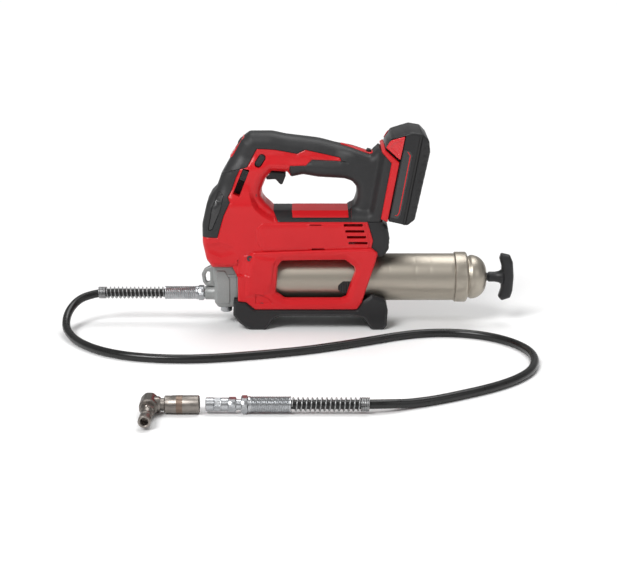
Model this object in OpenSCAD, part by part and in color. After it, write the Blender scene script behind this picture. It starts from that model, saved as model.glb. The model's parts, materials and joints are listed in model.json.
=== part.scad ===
// Cordless grease gun with a reusable barrel, a slide-on battery and a high-pressure hose.
// +X points to the T-handle, -Y to the side that carries the speed selector, +Z up.
// The origin lies on the ground below the middle of the gun.

/* [Barrel] */
// Outer radius of the grease barrel
barrel_r = 29; // [26:0.5:30]
// Wall of the barrel tube
barrel_wall = 1.5; // [1:0.1:2.5]
// Height of the barrel axis above the ground
barrel_z = 58; // [57:0.5:62]
// Rear end of the barrel tube
barrel_end_x = 119; // [100:1:135]
// Radius of the follower rod
rod_r = 5; // [3:0.1:6]

/* [Drive] */
// Height of the motor axis above the ground
motor_z = 112.5; // [111:0.5:114]
// Radius of the motor can
motor_can_r = 19.5; // [16:0.5:20]
// Radius of the motor shaft
shaft_r = 2.5; // [1.8:0.1:2.6]
// Gear module of the planetary stage
gear_module = 0.65; // [0.5:0.01:0.66]
// Throw of the crank pin
crank_throw = 6; // [4:0.5:7]
// Radius of the pump plunger
plunger_r = 4; // [3:0.25:5]

/* [Body] */
// Half width of the upper body
body_half_w = 33; // [31:0.5:36]
// Half width of the lower frame and its window
frame_half_w = 38; // [37:0.5:42]
// Half width of the front column
column_half_w = 25; // [22:0.5:28]
// Half width of the handle
handle_half_w = 19; // [16:0.5:22]
// Wall of the clamshell halves
shell_wall = 2.5; // [2:0.1:3]
// Thickness of the rubber overmould
rubber_t = 2.5; // [1.5:0.1:3]
// Half width of the base with its feet
base_half_w = 37; // [34:0.5:38]

/* [Battery] */
// Half width of the battery pack
pack_half_w = 37; // [34:0.5:38]
// Tilt of the battery from the vertical
pack_tilt = 10; // [6:1:12]
// Radius of one battery cell
cell_r = 9.1; // [8:0.1:9.4]

/* [Hose] */
// Radius of the hose
hose_r = 5; // [4:0.25:5.25]
// Outer radius of the spring guards
guard_r = 7.5; // [6.5:0.25:8]
// Height of the outlet and the hose fitting
outlet_z = 37.5; // [36:0.5:39]
// Radius of the coupler body
coupler_r = 7.3; // [6:0.1:7.5]
// Radius of the adapter socket, outside
adapter_r = 9.6; // [9:0.1:10]

/* [Fits] */
// Radial clearance of a running fit
run_gap = 0.05; // [0.02:0.01:0.1]
// Gap between parts that slide past each other
slide_gap = 0.4; // [0.3:0.05:0.6]

/* [Hidden] */
$fn = 64;
red = "crimson";
black = "dimgray";
steel = "silver";

// ---- Outlines, each point is [x, z, corner radius], counter-clockwise ----

// Upper body round the motor and the crank
body_outline = [[-178, 77, 3], [-147, 77, 0], [-147, 88.2, 0], [15, 88.2, 0], [15, 101, 0],
    [17, 112, 3], [10, 135, 0], [-98, 135, 0], [-101, 146, 0], [-106, 151, 4], [-113, 156, 4],
    [-150, 160, 0], [-183, 156, 4], [-189.3, 132, 20], [-189.5, 108, 12], [-185, 87, 8]];
// Front column from the body up to the handle
column_outline = [[-181, 150, 0], [-118, 150, 0], [-112.8, 156.4, 0], [-117.6, 162, 6],
    [-117.6, 172, 10], [-112.5, 185, 0], [-116, 203, 0], [-158.7, 203, 0], [-167, 187.4, 12],
    [-172.3, 172.5, 6], [-179, 165, 4], [-184, 155, 4]];
// Handle over the hand hole
handle_outline = [[-160.5, 199, 0], [-116, 199, 0], [-112.5, 185, 2], [-105.5, 194, 2], [-86.5, 193, 2],
    [-82, 187, 1.5], [-67.5, 190, 10], [-49, 186.8, 20], [-17, 185, 10], [-9, 182, 0], [-9, 222.6, 0],
    [-49.4, 232.3, 60], [-88, 236.5, 60], [-105, 240.2, 30], [-132, 240, 8], [-142.4, 231.7, 6]];
// Riser that carries the battery
riser_outline = [[-9.2, 147, 0], [-9.2, 135, 0], [24, 135, 0], [37.5, 207.6, 0], [23, 222.6, 2],
    [14, 214.5, 4], [-9, 222.6, 0], [-9, 182, 0], [-1.5, 175, 6], [-1, 163, 6], [-8.5, 150, 8]];
// Area of the front bumper, seen from the side
bumper_area = [[-200, 116.5, 0], [-171, 115.3, 1], [-163, 142.6, 2], [-155.4, 158.7, 1], [-157.7, 164.8, 1],
    [-152.8, 173.4, 1], [-147.8, 188, 1], [-143, 198, 0], [-200, 184, 0]];
// Area of the grip above the red panel
grip_area = [[-200, 184, 0], [-143, 198, 0], [-134.5, 200.3, 0], [-132.4, 201, 0], [-129.9, 208.4, 0],
    [-122.6, 221.8, 1], [-101, 220.6, 3], [-74.7, 215.7, 2], [-65.1, 220.6, 2], [-23.1, 211.2, 1],
    [-22, 207.4, 0], [10, 207.4, 0], [10, 250, 0], [-200, 250, 0]];
// Area of the grip below the red panel
lower_grip_area = [[-84.3, 195, 1], [-82, 189, 0], [-79, 170, 0], [10, 170, 0], [10, 207.4, 0], [-22, 207.4, 0],
    [-56.7, 209, 2], [-63.9, 202.3, 2], [-83.1, 201.7, 1]];
side_gap = 2.5;  // gap between the barrel and the side plates of the lower frame
// Lower frame round the barrel
frame_outline = [[-147, 36.4, 1], [-137.1, 35.2, 2], [-126.2, 26, 2], [-1.7, 26, 2], [4.3, 35.2, 2],
    [20.7, 86.9, 3], [23, 96.9, 3], [15.7, 103, 2], [-128, 98, 4], [-143.8, 87, 4], [-147, 70, 3]];
// Window that shows the barrel
window_outline = [[-100.4, 47.9, 3], [-89.5, 40.3, 4], [-21.3, 40.3, 2], [-15.2, 42.8, 2], [-4.5, 74.3, 4],
    [-5.8, 79.4, 4], [-16.8, 88, 4], [-93, 86.9, 4], [-97.9, 80, 4]];
// Base with two feet
base_outline = [[-153, 18.6, 3], [-145, 8, 3], [-133, 0, 4], [-113, 0, 3], [-104, 14, 4], [-96, 17.5, 4],
    [-8, 17.5, 4], [7, 14.5, 5], [16, 0, 4], [31, 0, 3], [35, 5, 3], [36.1, 25, 3], [32.3, 37.7, 2],
    [16.4, 44.1, 2], [4.3, 35.2, 0], [-1.7, 26, 0], [-126.2, 26, 0], [-137.1, 35.2, 0], [-147, 36.4, 0],
    [-152.5, 37, 1]];
// Rear end cap of the motor
end_cap_outline = [[22.5, 92.3, 2], [31, 91, 3], [36.7, 99.8, 4], [37.7, 112.3, 6], [35.1, 127.2, 4],
    [28, 135, 2], [10, 135, 0], [17, 112, 3], [15, 101, 2]];
// Grip bar of the T-handle, from the end of the rod and its axis
t_bar_outline = [[2.6, -30, 2], [13.6, -26.2, 3], [16, -18, 3], [17, 0, 10], [15.5, 18.8, 3],
    [11.7, 27.7, 3], [0.5, 30.3, 2], [-1.5, 24, 2], [1.5, 14, 3], [1.5, -14, 3], [-1.5, -25, 2]];
// Pump head casting, side view
head_outline = [[-172, 23.5, 4], [-150, 24, 4], [-147, 28, 1], [-147, 66, 2], [-153.5, 77, 1], [-178, 77, 2],
    [-178, 58, 2], [-176.5, 54, 1], [-176.5, 30, 3]];
// Strap eyelet of the pump head
eyelet_outline = [[-188, 47.3, 3], [-176, 46, 0], [-176, 73.5, 0], [-181, 73, 3], [-189.5, 68.5, 3],
    [-193, 62, 3], [-191.5, 52, 3]];
eyelet_hole = [[-187, 52, 2], [-182.5, 52, 2], [-182.5, 65.5, 2], [-186, 65.5, 2], [-188.5, 60, 2]];
// Battery receptacle and pack, in the battery's own tilted frame
receptacle_outline = [[0, 0, 0], [8.5, -2.5, 1], [8.9, 71.5, 1], [-11.1, 84, 1], [-14.5, 80.5, 0], [-0.2, 69.2, 2]];
case_outline = [[9.3, -1.5, 1], [23, -2, 3], [28.5, -2.5, 2], [28.5, 108, 0], [17.3, 108.2, 5],
    [-3.5, 98.5, 5], [-9.5, 88.5, 3], [-10.4, 84.5, 1], [9.3, 72.2, 0]];
pack_base_outline = [[28.5, -2.5, 0], [33, -1, 3], [39.5, 8, 8], [41, 88, 10], [37.5, 101, 6], [30, 107, 5],
    [28.5, 108, 0]];
latch_outline = [[9, 77.5, 1], [9.6, 103.6, 1], [-6.4, 95.4, 8], [-9.8, 86.5, 1]];

// ---- Places of the moving parts ----
follower_x = -104;             // front face of the follower at rest
follower_t = 18;               // length of the follower
spring_r = barrel_r - barrel_wall - 7.5; // outer radius of the follower spring, inside the follower's rim
cap_x = barrel_end_x;          // where the barrel cap starts
rod_end_x = barrel_end_x + 57; // rear end of the follower rod
plunger_x = -163;              // axis of the pump plunger
trigger_pivot = [-110, 189];   // hinge of the trigger, in X and Z
lock_centre = [-119, 207.7];   // middle of the lock button
selector_top = [-138.3, 190.5];  // middle of the selector at rest
selector_dir = [-0.366, -0.931];
selector_travel = 15;
lamp_centre = [-146.8, 221.9]; // middle of the lamp bezel on the nose
lamp_tilt = 33.8;              // lean of the lamp's face back from the vertical
lamp_size = [36, 22];          // length and width of the bezel
receptacle_at = [26.2, 139.4]; // lower front corner of the receptacle, in X and Z

// Planetary stage: teeth, radii and places along the motor axis
sun_teeth = 12;
planet_teeth = 18;
ring_teeth = sun_teeth + 2 * planet_teeth;
planet_orbit = gear_module * (sun_teeth + planet_teeth) / 2;
gear_x = -106;      // front face of the gears
gear_w = 12;        // width of the gears
carrier_x = -112;   // front face of the carrier disc
crank_x = -140;     // front face of the crank disc

// Hose route from the pump fitting to the coupler
hose_tip_z = 9.8;
hose_tip_y = -326;
hose_route = [[-237, 0, outlet_z], [-275, 0, outlet_z], [-308, 0, outlet_z], [-326, -1.5, outlet_z - 1.5],
    [-342, -8, 32], [-352, -20, 25], [-356, -38, 17], [-353, -61, 10], [-341, -87, 6], [-323, -112, 5],
    [-300, -134, 5], [-272, -150, 5], [-240, -159, 5], [-205, -162, 5], [-170, -159, 5], [-134, -151, 5],
    [-98, -141, 5], [-62, -129, 5], [-26, -113, 5], [10, -95, 5], [46, -76, 5], [78, -65, 5], [110, -63, 5],
    [140, -70, 5], [166, -86, 5], [186, -110, 5], [197, -140, 5], [197, -172, 5], [187, -205, 5],
    [166, -235, 5], [138, -260, 5], [106, -281, 5], [74, -299, 5], [46, -312, 6], [24, -321, 8.5],
    [4, hose_tip_y + 1, hose_tip_z - 0.2], [-16, hose_tip_y, hose_tip_z], [-40, hose_tip_y, hose_tip_z], [-77, hose_tip_y, hose_tip_z]];
pump_fit_x = -190;      // where the pump fitting leaves the outlet boss
pump_sleeve_x = -239;   // free end of the threaded sleeve at the pump
pump_guard_x = -322;    // free end of the spring guard at the pump
coupler_sleeve_x = -79; // hose end of the threaded sleeve at the coupler
coupler_guard_x = 3.5;  // free end of the spring guard at the coupler
coupler_tip_x = -168;   // mouth of the coupler
adapter_x = -174.5;     // open end of the adapter socket
nipple_r = 3.2;         // nipple inside the adapter

// ---- Functions and shared shapes ----

function unit(v) = v / norm(v);
function left_of(v) = [-v.y, v.x];
// One corner of an outline as an arc of its radius, tangent to both sides
function corner(a, b, c, r, n = 5) =
    let (u = unit(a - b), v = unit(c - b), half = acos(u * v) / 2, t = r / tan(half),
         m = b + unit(u + v) * r / sin(half), s = b + u * t - m, e = b + v * t - m,
         a0 = atan2(s.y, s.x), turn = atan2(s.x * e.y - s.y * e.x, s * e))
    [for (i = [0:n]) m + r * [cos(a0 + turn * i / n), sin(a0 + turn * i / n)]];
function flat(p) = [p.x, p.y];
// The outline's points with each corner rounded by its own radius
function rounded(p) = [for (i = [0:len(p) - 1])
    let (a = flat(p[(i + len(p) - 1) % len(p)]), b = flat(p[i]), c = flat(p[(i + 1) % len(p)]))
    each p[i][2] == 0 ? [b] : corner(a, b, c, p[i][2])];
// The outline moved inwards by d
function inset(p, d) = [for (i = [0:len(p) - 1])
    let (a = flat(p[(i + len(p) - 1) % len(p)]), b = flat(p[i]), c = flat(p[(i + 1) % len(p)]),
         n = left_of(unit(b - a)), m = left_of(unit(c - b)), q = b + (n + m) * d / (1 + n * m))
    [q.x, q.y, 0]];

// Plate between y = low and y = high with the given outline in X and Z
module plate(points, low, high) {
    translate([0, high, 0]) rotate([90, 0, 0]) linear_extrude(high - low) polygon(rounded(points));
}
// Cylinder along X from x0 to x1
module rod_x(x0, x1, r, y = 0, z = 0) {
    translate([x0, y, z]) rotate([0, 90, 0]) cylinder(h = x1 - x0, r = r);
}
// Tube along X
module tube_x(x0, x1, r, bore, y = 0, z = 0) {
    difference() {
        rod_x(x0, x1, r, y, z);
        rod_x(x0 - 1, x1 + 1, bore, y, z);
    }
}
// Hexagon along X, across flats af
module hex_x(x0, x1, af, y = 0, z = 0) {
    translate([x0, y, z]) rotate([0, 90, 0]) rotate(30) cylinder(h = x1 - x0, r = af / sqrt(3), $fn = 6);
}
// Puts its children into the battery's frame: local Z along the slide, local X away from the gun
module battery_frame() {
    translate([receptacle_at.x, 0, receptacle_at.y]) rotate([0, pack_tilt, 0]) children();
}
// Puts its children onto the nose: local Z out of the surface, local X up along it
module lamp_frame() {
    translate([lamp_centre.x, 0, lamp_centre.y]) rotate([0, lamp_tilt - 90, 0]) children();
}

// Pocket on the nose that takes the lamp bezel
module lamp_pocket() {
    lamp_frame() cube([lamp_size.x + slide_gap, lamp_size.y + slide_gap, 12], center = true);
}

// ---- Casing ----

riser_half_w = handle_half_w + 5;
// Outer form of body, front column and handle, with their rubber
module front_form() {
    plate(body_outline, -body_half_w, body_half_w);
    plate(column_outline, -column_half_w, column_half_w);
    plate(handle_outline, -handle_half_w, handle_half_w);
}
// Hard core under the rubber
module core_form() {
    plate(inset(column_outline, rubber_t), -column_half_w + rubber_t, column_half_w - rubber_t);
    plate(inset(handle_outline, rubber_t), -handle_half_w + rubber_t, handle_half_w - rubber_t);
    plate(inset(riser_outline, rubber_t), -riser_half_w + rubber_t, riser_half_w - rubber_t);
    plate(inset(body_outline, rubber_t), -body_half_w + rubber_t, body_half_w - rubber_t);
    // Necks that join the riser's core to the handle and to the body
    plate([[-17, 189, 0], [-3, 189, 0], [-3, 217, 0], [-17, 219, 0]], -handle_half_w + rubber_t, handle_half_w - rubber_t);
    plate([[-5, 128, 0], [8, 128, 0], [8, 141, 0], [-4, 141, 0]], -riser_half_w + rubber_t, riser_half_w - rubber_t);
}
// Hollow inside the core
module body_cavity() {
    skin = rubber_t + shell_wall;
    plate(inset(body_outline, shell_wall), -body_half_w + skin, body_half_w - skin);
    plate(inset(column_outline, skin), -column_half_w + skin, column_half_w - skin);
    plate(inset(handle_outline, skin), -handle_half_w + skin, handle_half_w - skin);
    plate(inset(riser_outline, skin), -riser_half_w + skin, riser_half_w - skin);
    plate([[-150, 140, 0], [-124, 140, 0], [-124, 170, 0], [-150, 170, 0]], -column_half_w + skin, column_half_w - skin);
    plate([[-146, 190, 0], [-122, 190, 0], [-122, 215, 0], [-146, 215, 0]], -handle_half_w + skin, handle_half_w - skin);
}
// Space that the barrel, its collar and the pump neck need
module barrel_space() {
    rod_x(-148, 60, barrel_r + slide_gap, 0, barrel_z);
    rod_x(-148, -118, barrel_r + 4 + slide_gap, 0, barrel_z);
    translate([plunger_x, 0, 60]) cylinder(h = 30, r = 11 + slide_gap);
}
// Slots of the vent and the small openings on each side panel
module vent_slots() {
    for (i = [0:3]) translate([-18.5 + 2 * i, -50, 130 - 7.3 * i]) cube([23, 100, 2.4]);
    translate([-60, -50, 131]) cube([15, 100, 1.2]);
    translate([-57, -50, 98.5]) cube([15, 100, 2.2]);
}
// Slanted oval of the lock button, grown by g
module lock_oval(low, high, g = 0) {
    translate([lock_centre.x, high, lock_centre.y]) rotate([90, -32, 0]) linear_extrude(high - low) {
        for (s = [-1, 1]) translate([0, s * 4]) circle(r = 4 + g);
        square([8 + 2 * g, 8], center = true);
    }
}
// Slot that the speed selector runs in
module selector_slot(low, high, g = 0) {
    angle = atan2(-selector_dir.x, -selector_dir.y);
    translate([selector_top.x, high, selector_top.y]) rotate([90, angle, 0])
        translate([-3.6 - g, -6.5 - selector_travel - g, 0])
            linear_extrude(high - low) square([7.2 + 2 * g, 13 + selector_travel + 2 * g]);
}
// Pocket of the trigger between the two halves
module trigger_pocket() {
    plate([[-118, 176, 0], [-84, 176, 0], [-84, 200, 0], [-118, 200, 0]], -9.5, 9.5);
}
// Screw positions on the right half, in X and Z
screw_places = [[-168, 100], [-132, 90.5], [-132, 140], [-118, 31.5], [-12, 31.5], [8, 96], [-127, 166]];
function screw_face(p) = p[1] > 160 ? column_half_w : (p[1] < 60 || p[0] > 0 || p[1] < 95) ? frame_half_w : body_half_w;

// Both halves in one, cut at the middle by each half
module housing_form() {
    difference() {
        union() {
            difference() {
                front_form();
                plate(bumper_area, -60, 60);
                plate(grip_area, -60, 60);
                plate(lower_grip_area, -60, 60);
            }
            core_form();
            // Lower frame: two side plates, a floor under the barrel and a front block
            difference() {
                plate(frame_outline, -frame_half_w, frame_half_w);
                plate(window_outline, -60, 60);
                plate([[-118, barrel_z - barrel_r - 0.5, 0], [40, barrel_z - barrel_r - 0.5, 0], [40, 120, 0],
                    [-118, 120, 0]], -barrel_r - side_gap, barrel_r + side_gap);
            }
        }
        body_cavity();
        barrel_space();
        rod_x(0, 40, 12, 0, motor_z);
        vent_slots();
        lock_oval(-60, 60, slide_gap);
        selector_slot(-60, -5, slide_gap);
        trigger_pocket();
        lamp_pocket();
        for (p = screw_places) translate([p[0], -screw_face(p) + 4, p[1]]) rotate([90, 0, 0]) {
            cylinder(h = 20, r = 3.6);
            translate([0, 0, -9]) cylinder(h = 10, r = 1.6);
        }
    }
}
module housing_left() {
    color(red) intersection() {
        housing_form();
        translate([-300, 0.05, -10]) cube([600, 100, 300]);
    }
}
module housing_right() {
    color(red) intersection() {
        housing_form();
        translate([-300, -100.05, -10]) cube([600, 100, 300]);
    }
}
// Rubber skin over one area of the body
module rubber_skin(area) {
    difference() {
        intersection() {
            front_form();
            plate(area, -60, 60);
        }
        core_form();
    }
}
module handle_grip() {
    color(black) difference() {
        rubber_skin(grip_area);
        lamp_pocket();
        lock_oval(-60, 60, slide_gap);
        selector_slot(-60, -5, slide_gap);
    }
}
module lower_grip() {
    color(black) difference() {
        rubber_skin(lower_grip_area);
        trigger_pocket();
    }
}
module front_bumper() {
    color(black) rubber_skin(bumper_area);
}
// Trapezoid bar over the upper body: flat top and two bevels
module rail_form(x0, x1, drop, low) {
    translate([x0, 0, 0]) rotate([90, 0, 90]) linear_extrude(x1 - x0)
        polygon([[-body_half_w + drop, 135], [body_half_w - drop, 135], [body_half_w - drop, low],
            [19 - drop / 2, 146.5 - drop], [-19 + drop / 2, 146.5 - drop], [-body_half_w + drop, low]]);
}
module rail_cover() {
    color(black) difference() {
        rail_form(-98, -9.5, 0, 135.5);
        rail_form(-95, -12, 3, 135.2);
        translate([-81, -50, 139.7]) cube([69, 100, 20]);
    }
}
module rail_insert() {
    color(red) difference() {
        intersection() {
            rail_form(-81, -12, 0, 135.5);
            translate([-81, -50, 139.7]) cube([69, 100, 20]);
        }
        rail_form(-90, -5, 3, 135.2);
    }
}
module rear_grip() {
    color(black) difference() {
        union() {
            plate(riser_outline, -riser_half_w, riser_half_w);
            plate([[13, 135, 0], [24, 135, 0], [37.5, 207.6, 0], [23, 222.6, 0], [17, 216.5, 0]],
                -pack_half_w + 3, pack_half_w - 3);
        }
        core_form();
        plate(inset(riser_outline, rubber_t), -handle_half_w, handle_half_w);
        battery_frame() plate(receptacle_outline, -60, 60);
    }
}
module motor_end_cap() {
    color(black) difference() {
        plate(end_cap_outline, -30, 30);
        rod_x(0, 34, motor_can_r - 2, 0, motor_z);
        rod_x(0, 60, barrel_r + slide_gap, 0, barrel_z);
        plate(frame_outline, -60, 60);
    }
    color(black) tube_x(22, 35, 11, 8, 0, motor_z);
}
module battery_receptacle() {
    color(red) battery_frame() difference() {
        plate(receptacle_outline, -pack_half_w, pack_half_w);
        // Slot for the pack's rails, open at the top
        translate([3, -26.5, 3]) cube([30, 53, 90]);
    }
}
module terminal_block() {
    color(black) battery_frame() {
        translate([3, -18, 5]) cube([2.5, 36, 40]);
        for (y = [-12, -4, 4, 12]) translate([5.5, y - 0.4, 12]) cube([3.6, 0.8, 16]);
    }
}
module base_skid() {
    color(black) difference() {
        plate(base_outline, -base_half_w, base_half_w);
        rod_x(-148, 60, barrel_r + slide_gap, 0, barrel_z);
        rod_x(-160, -118, barrel_r + 4 + slide_gap, 0, barrel_z);
        translate([-160, -22, 20]) cube([19, 44, 30]);
        // Hollow feet, open below
        plate([[-134, -1, 0], [-116, -1, 0], [-110, 12, 0], [-110, 18, 0], [-140, 18, 0], [-140, 9, 0]],
            -base_half_w + 4, base_half_w - 4);
        plate([[18, -1, 0], [30, -1, 0], [31.5, 22, 0], [9, 22, 0]], -base_half_w + 4, base_half_w - 4);
    }
}
module housing_screws() {
    color(steel) for (p = screw_places) translate([p[0], -screw_face(p) + 4, p[1]]) rotate([90, 0, 0]) difference() {
        union() {
            cylinder(h = 2.4, r = 3.5);
            translate([0, 0, -9]) cylinder(h = 10, r = 1.6);
        }
        translate([0, 0, 1]) cylinder(h = 3, r = 1.5, $fn = 6);
    }
}
// Ribbed rubber pads that steady the barrel inside the window
module barrel_pads() {
    color(black) for (s = [-1, 1]) difference() {
        translate([-10, s * (barrel_r + side_gap - 6), 51]) rotate([90, 0, 0]) translate([0, 0, -6]) union() {
            for (z = [-4, 4]) translate([0, z, 0]) cylinder(h = 12, r = 6);
            translate([-6, -4, 0]) cube([12, 8, 12]);
        }
        rod_x(-60, 60, barrel_r + slide_gap, 0, barrel_z);
        for (i = [-2:2]) translate([-10.5 + 2.4 * i, s * (barrel_r + side_gap) - 1, 41]) cube([1, 2, 20]);
    }
}

// ---- Drive ----

// Polar angle between an involute's start and radius r, in degrees
function involute(base, r) = let (a = acos(min(1, base / r))) tan(a) * 180 / PI - a;
// Spur gear outline; slack thins each tooth by that arc at the pitch circle
module gear(teeth, slack, tip, root) {
    pitch = gear_module * teeth / 2;
    base = pitch * cos(20);
    half = 90 / teeth + involute(base, pitch) - slack / pitch * 90 / PI;
    radii = [for (k = [0:4]) root + (tip - root) * k / 4];
    polygon([for (i = [0:teeth - 1]) let (a = 360 / teeth * i)
        each concat([for (r = radii) let (t = half - involute(base, max(r, base))) r * [cos(a - t), sin(a - t)]],
            [for (k = [4:-1:0]) let (r = radii[k], t = half - involute(base, max(r, base))) r * [cos(a + t), sin(a + t)]])]);
}
// Extrudes a gear along X on the motor axis; its angles run from +Y towards +Z
module on_axis(x0, length) {
    translate([x0, 0, motor_z]) rotate([90, 0, 90]) linear_extrude(length) children();
}
function pitch_of(teeth) = gear_module * teeth / 2;
// Angle that brings a planet at this orbit angle into mesh with the sun
function planet_phase(a) = a * (1 + sun_teeth / planet_teeth) + 180 - 180 / planet_teeth;

module stator() {
    color("dimgray") difference() {
        union() {
            tube_x(-84, -4, motor_can_r, motor_can_r - 1.5, 0, motor_z);
            tube_x(-60, -14, motor_can_r - 1, 12.4, 0, motor_z);
            rod_x(-87, -84, motor_can_r, 0, motor_z);
            rod_x(-84, -77, 10.5, 0, motor_z);
        }
        rod_x(-86, -70, 8, 0, motor_z);
        rod_x(-90, -70, 5, 0, motor_z);
        // Openings between the stator teeth
        for (i = [0:5]) translate([-90, 0, motor_z]) rotate([60 * i, 0, 0]) translate([30, -2, 11]) cube([46, 4, 5]);
    }
}
module rotor() {
    color(steel) {
        rod_x(-94, 28, shaft_r, 0, motor_z);
        rod_x(-58, -16, 12, 0, motor_z);
        on_axis(gear_x, gear_w + 0.5)
            gear(sun_teeth, 0.1, pitch_of(sun_teeth) + 0.85 * gear_module, pitch_of(sun_teeth) - 1.2 * gear_module);
    }
}
module cooling_fan() {
    color(black) difference() {
        union() {
            rod_x(-2, 9, 6, 0, motor_z);
            rod_x(-2, -0.5, 16.5, 0, motor_z);
            for (i = [0:10]) translate([-1, 0, motor_z]) rotate([360 / 11 * i, 0, 0]) translate([0, 5, -0.6]) cube([9, 11, 1.2]);
        }
        rod_x(-3, 10, shaft_r, 0, motor_z);
    }
}
module bearings() {
    color(steel) {
        tube_x(-86, -79, 8, shaft_r + run_gap, 0, motor_z);
        tube_x(22.5, 27.5, 8, shaft_r + run_gap, 0, motor_z);
        tube_x(-129, -121, 11, 4 + run_gap, 0, motor_z);
    }
}
module ring_gear() {
    color("gray") difference() {
        union() {
            rod_x(-118, -88, motor_can_r, 0, motor_z);
            rod_x(-130, -117, 13.5, 0, motor_z);
        }
        rod_x(-131, -120, 11, 0, motor_z);
        rod_x(-131, -114, 8, 0, motor_z);
        rod_x(-115, -107, motor_can_r - 2, 0, motor_z);
        rod_x(-93, -80, motor_can_r - 2, 0, motor_z);
        on_axis(-108, 16) rotate(180 * (planet_teeth - 1) / ring_teeth)
            gear(ring_teeth, -0.1, pitch_of(ring_teeth) + 1.25 * gear_module, pitch_of(ring_teeth) - 0.8 * gear_module);
    }
}
module planet_carrier() {
    color(steel) {
        rod_x(carrier_x, carrier_x + 5, planet_orbit + 4, 0, motor_z);
        rod_x(crank_x + 7, carrier_x + 1, 4, 0, motor_z);
        rod_x(crank_x, crank_x + 8, crank_throw + 7, 0, motor_z);
        rod_x(crank_x - 10.5, crank_x + 1, 3, 0, motor_z + crank_throw);
        for (a = [0, 120, 240])
            rod_x(carrier_x + 4, gear_x + gear_w, 2, planet_orbit * cos(a), motor_z + planet_orbit * sin(a));
    }
}
module planet(a) {
    color("gainsboro") translate([0, planet_orbit * cos(a), planet_orbit * sin(a)]) difference() {
        on_axis(gear_x, gear_w - 0.3) rotate(planet_phase(a)) gear(planet_teeth, 0.1,
            pitch_of(planet_teeth) + 0.85 * gear_module, pitch_of(planet_teeth) - 1.2 * gear_module);
        rod_x(gear_x - 1, gear_x + gear_w + 1, 2 + run_gap, 0, motor_z);
    }
}
module planet_gear_1() { planet(0); }
module planet_gear_2() { planet(120); }
module planet_gear_3() { planet(240); }
module pump_yoke() {
    color("gray") difference() {
        translate([plunger_x - 7, -crank_throw - 7, motor_z - 8]) cube([18, 2 * crank_throw + 14, 16]);
        translate([plunger_x + 2, -crank_throw - 4, motor_z - 3.3]) cube([12, 2 * crank_throw + 8, 6.6]);
        translate([plunger_x, 0, motor_z - 9]) cylinder(h = 7, r = plunger_r);
    }
}
module pump_plunger() {
    color(steel) translate([plunger_x, 0, 50]) cylinder(h = motor_z - 2 - 50, r = plunger_r);
}

// ---- Controls ----

module control_board() {
    color("seagreen") translate([-80, -11, 205]) cube([66, 22, 1.6]);
    color(black) for (x = [-72, -54, -36]) translate([x, -6, 206.5]) cube([10, 12, 5]);
}
module trigger_switch() {
    color(black) translate([-108, -8, 203]) cube([22, 16, 16]);
}
module trigger() {
    color(black) difference() {
        plate([[-112, 182.5, 2], [-101, 184, 4], [-95, 177.5, 1.5], [-92.5, 178, 1.5], [-88.5, 187, 2], [-88.5, 191.5, 1],
            [-113.5, 193.5, 2]], -8, 8);
        translate([trigger_pivot.x, 20, trigger_pivot.y]) rotate([90, 0, 0]) cylinder(h = 40, r = 1.5 + run_gap);
        translate([-97, 0, 188.5]) cylinder(h = 10, r = 2.6);
    }
}
module trigger_pin() {
    color(steel) translate([trigger_pivot.x, 9.5, trigger_pivot.y]) rotate([90, 0, 0]) cylinder(h = 19, r = 1.5);
}
module trigger_spring() {
    color(steel) translate([-97, 0, 188.5]) difference() {
        cylinder(h = 14.5, r = 2.2);
        translate([0, 0, -1]) cylinder(h = 20, r = 1.6);
    }
}
module lock_button() {
    color(black) lock_oval(-handle_half_w - 2.5, handle_half_w + 2.5);
}
module speed_selector() {
    angle = atan2(-selector_dir.x, -selector_dir.y);
    color(black) translate([selector_top.x, -column_half_w + 0.5, selector_top.y]) rotate([90, angle, 0]) difference() {
        translate([-3.4, -6.3, -8]) cube([6.8, 12.6, 8.5]);
        for (i = [-2:2]) translate([-2.6, 2.2 * i - 0.4, -0.2]) cube([5.2, 0.9, 2]);
    }
}
module lamp_bezel() {
    color(red) lamp_frame() difference() {
        translate([0, 0, -2]) cube([lamp_size.x, lamp_size.y, 6], center = true);
        translate([8, 0, -10]) cylinder(h = 20, r = 4.6 + slide_gap);
        translate([-8, 0, -10]) cylinder(h = 20, r = 5.2);
    }
}
module lamp_lens() {
    color("white") lamp_frame() translate([-8, 0, -4]) {
        cylinder(h = 5.8, r = 5.2);
        translate([0, 0, 5.5]) cylinder(h = 1.4, r1 = 5.2, r2 = 3.8);
    }
}
module lamp_button() {
    color(black) lamp_frame() translate([8, 0, -3]) cylinder(h = 6.2, r = 4.6);
}

// ---- Pump head ----

module pump_head() {
    color("darkgray") difference() {
        union() {
            plate(head_outline, -20, 20);
            translate([plunger_x, 0, 76]) cylinder(h = 12, r = 11);
            rod_x(-189, -170, 8.5, 0, outlet_z);
            plate(eyelet_outline, -4, 4);
            rod_x(-147.5, -122, barrel_r + 4, 0, barrel_z);
        }
        plate(eyelet_hole, -10, 10);
        rod_x(-141, -121, barrel_r + run_gap, 0, barrel_z);
        rod_x(plunger_x, -140, 5, 0, barrel_z);
        translate([plunger_x, 0, 40]) cylinder(h = 60, r = plunger_r + run_gap);
        translate([plunger_x, 0, 22]) cylinder(h = 20, r = 5.5);
        rod_x(-190, plunger_x, 5, 0, outlet_z);
        // Drilling of the bleed valve
        translate([-153, 10, 48]) rotate([-90, 0, 0]) cylinder(h = 20, r = 3);
        // Recess in each side of the casting
        for (s = [-1, 1]) translate([-163, s * 20.5, 63]) cube([20, 3, 14], center = true);
    }
}
module check_valve() {
    color("gold") translate([plunger_x, 0, 38.5]) sphere(r = 3.6);
    color(steel) translate([plunger_x, 0, 24]) difference() {
        cylinder(h = 10.6, r = 3.5);
        translate([0, 0, -1]) cylinder(h = 13, r = 2.6);
    }
}
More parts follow.
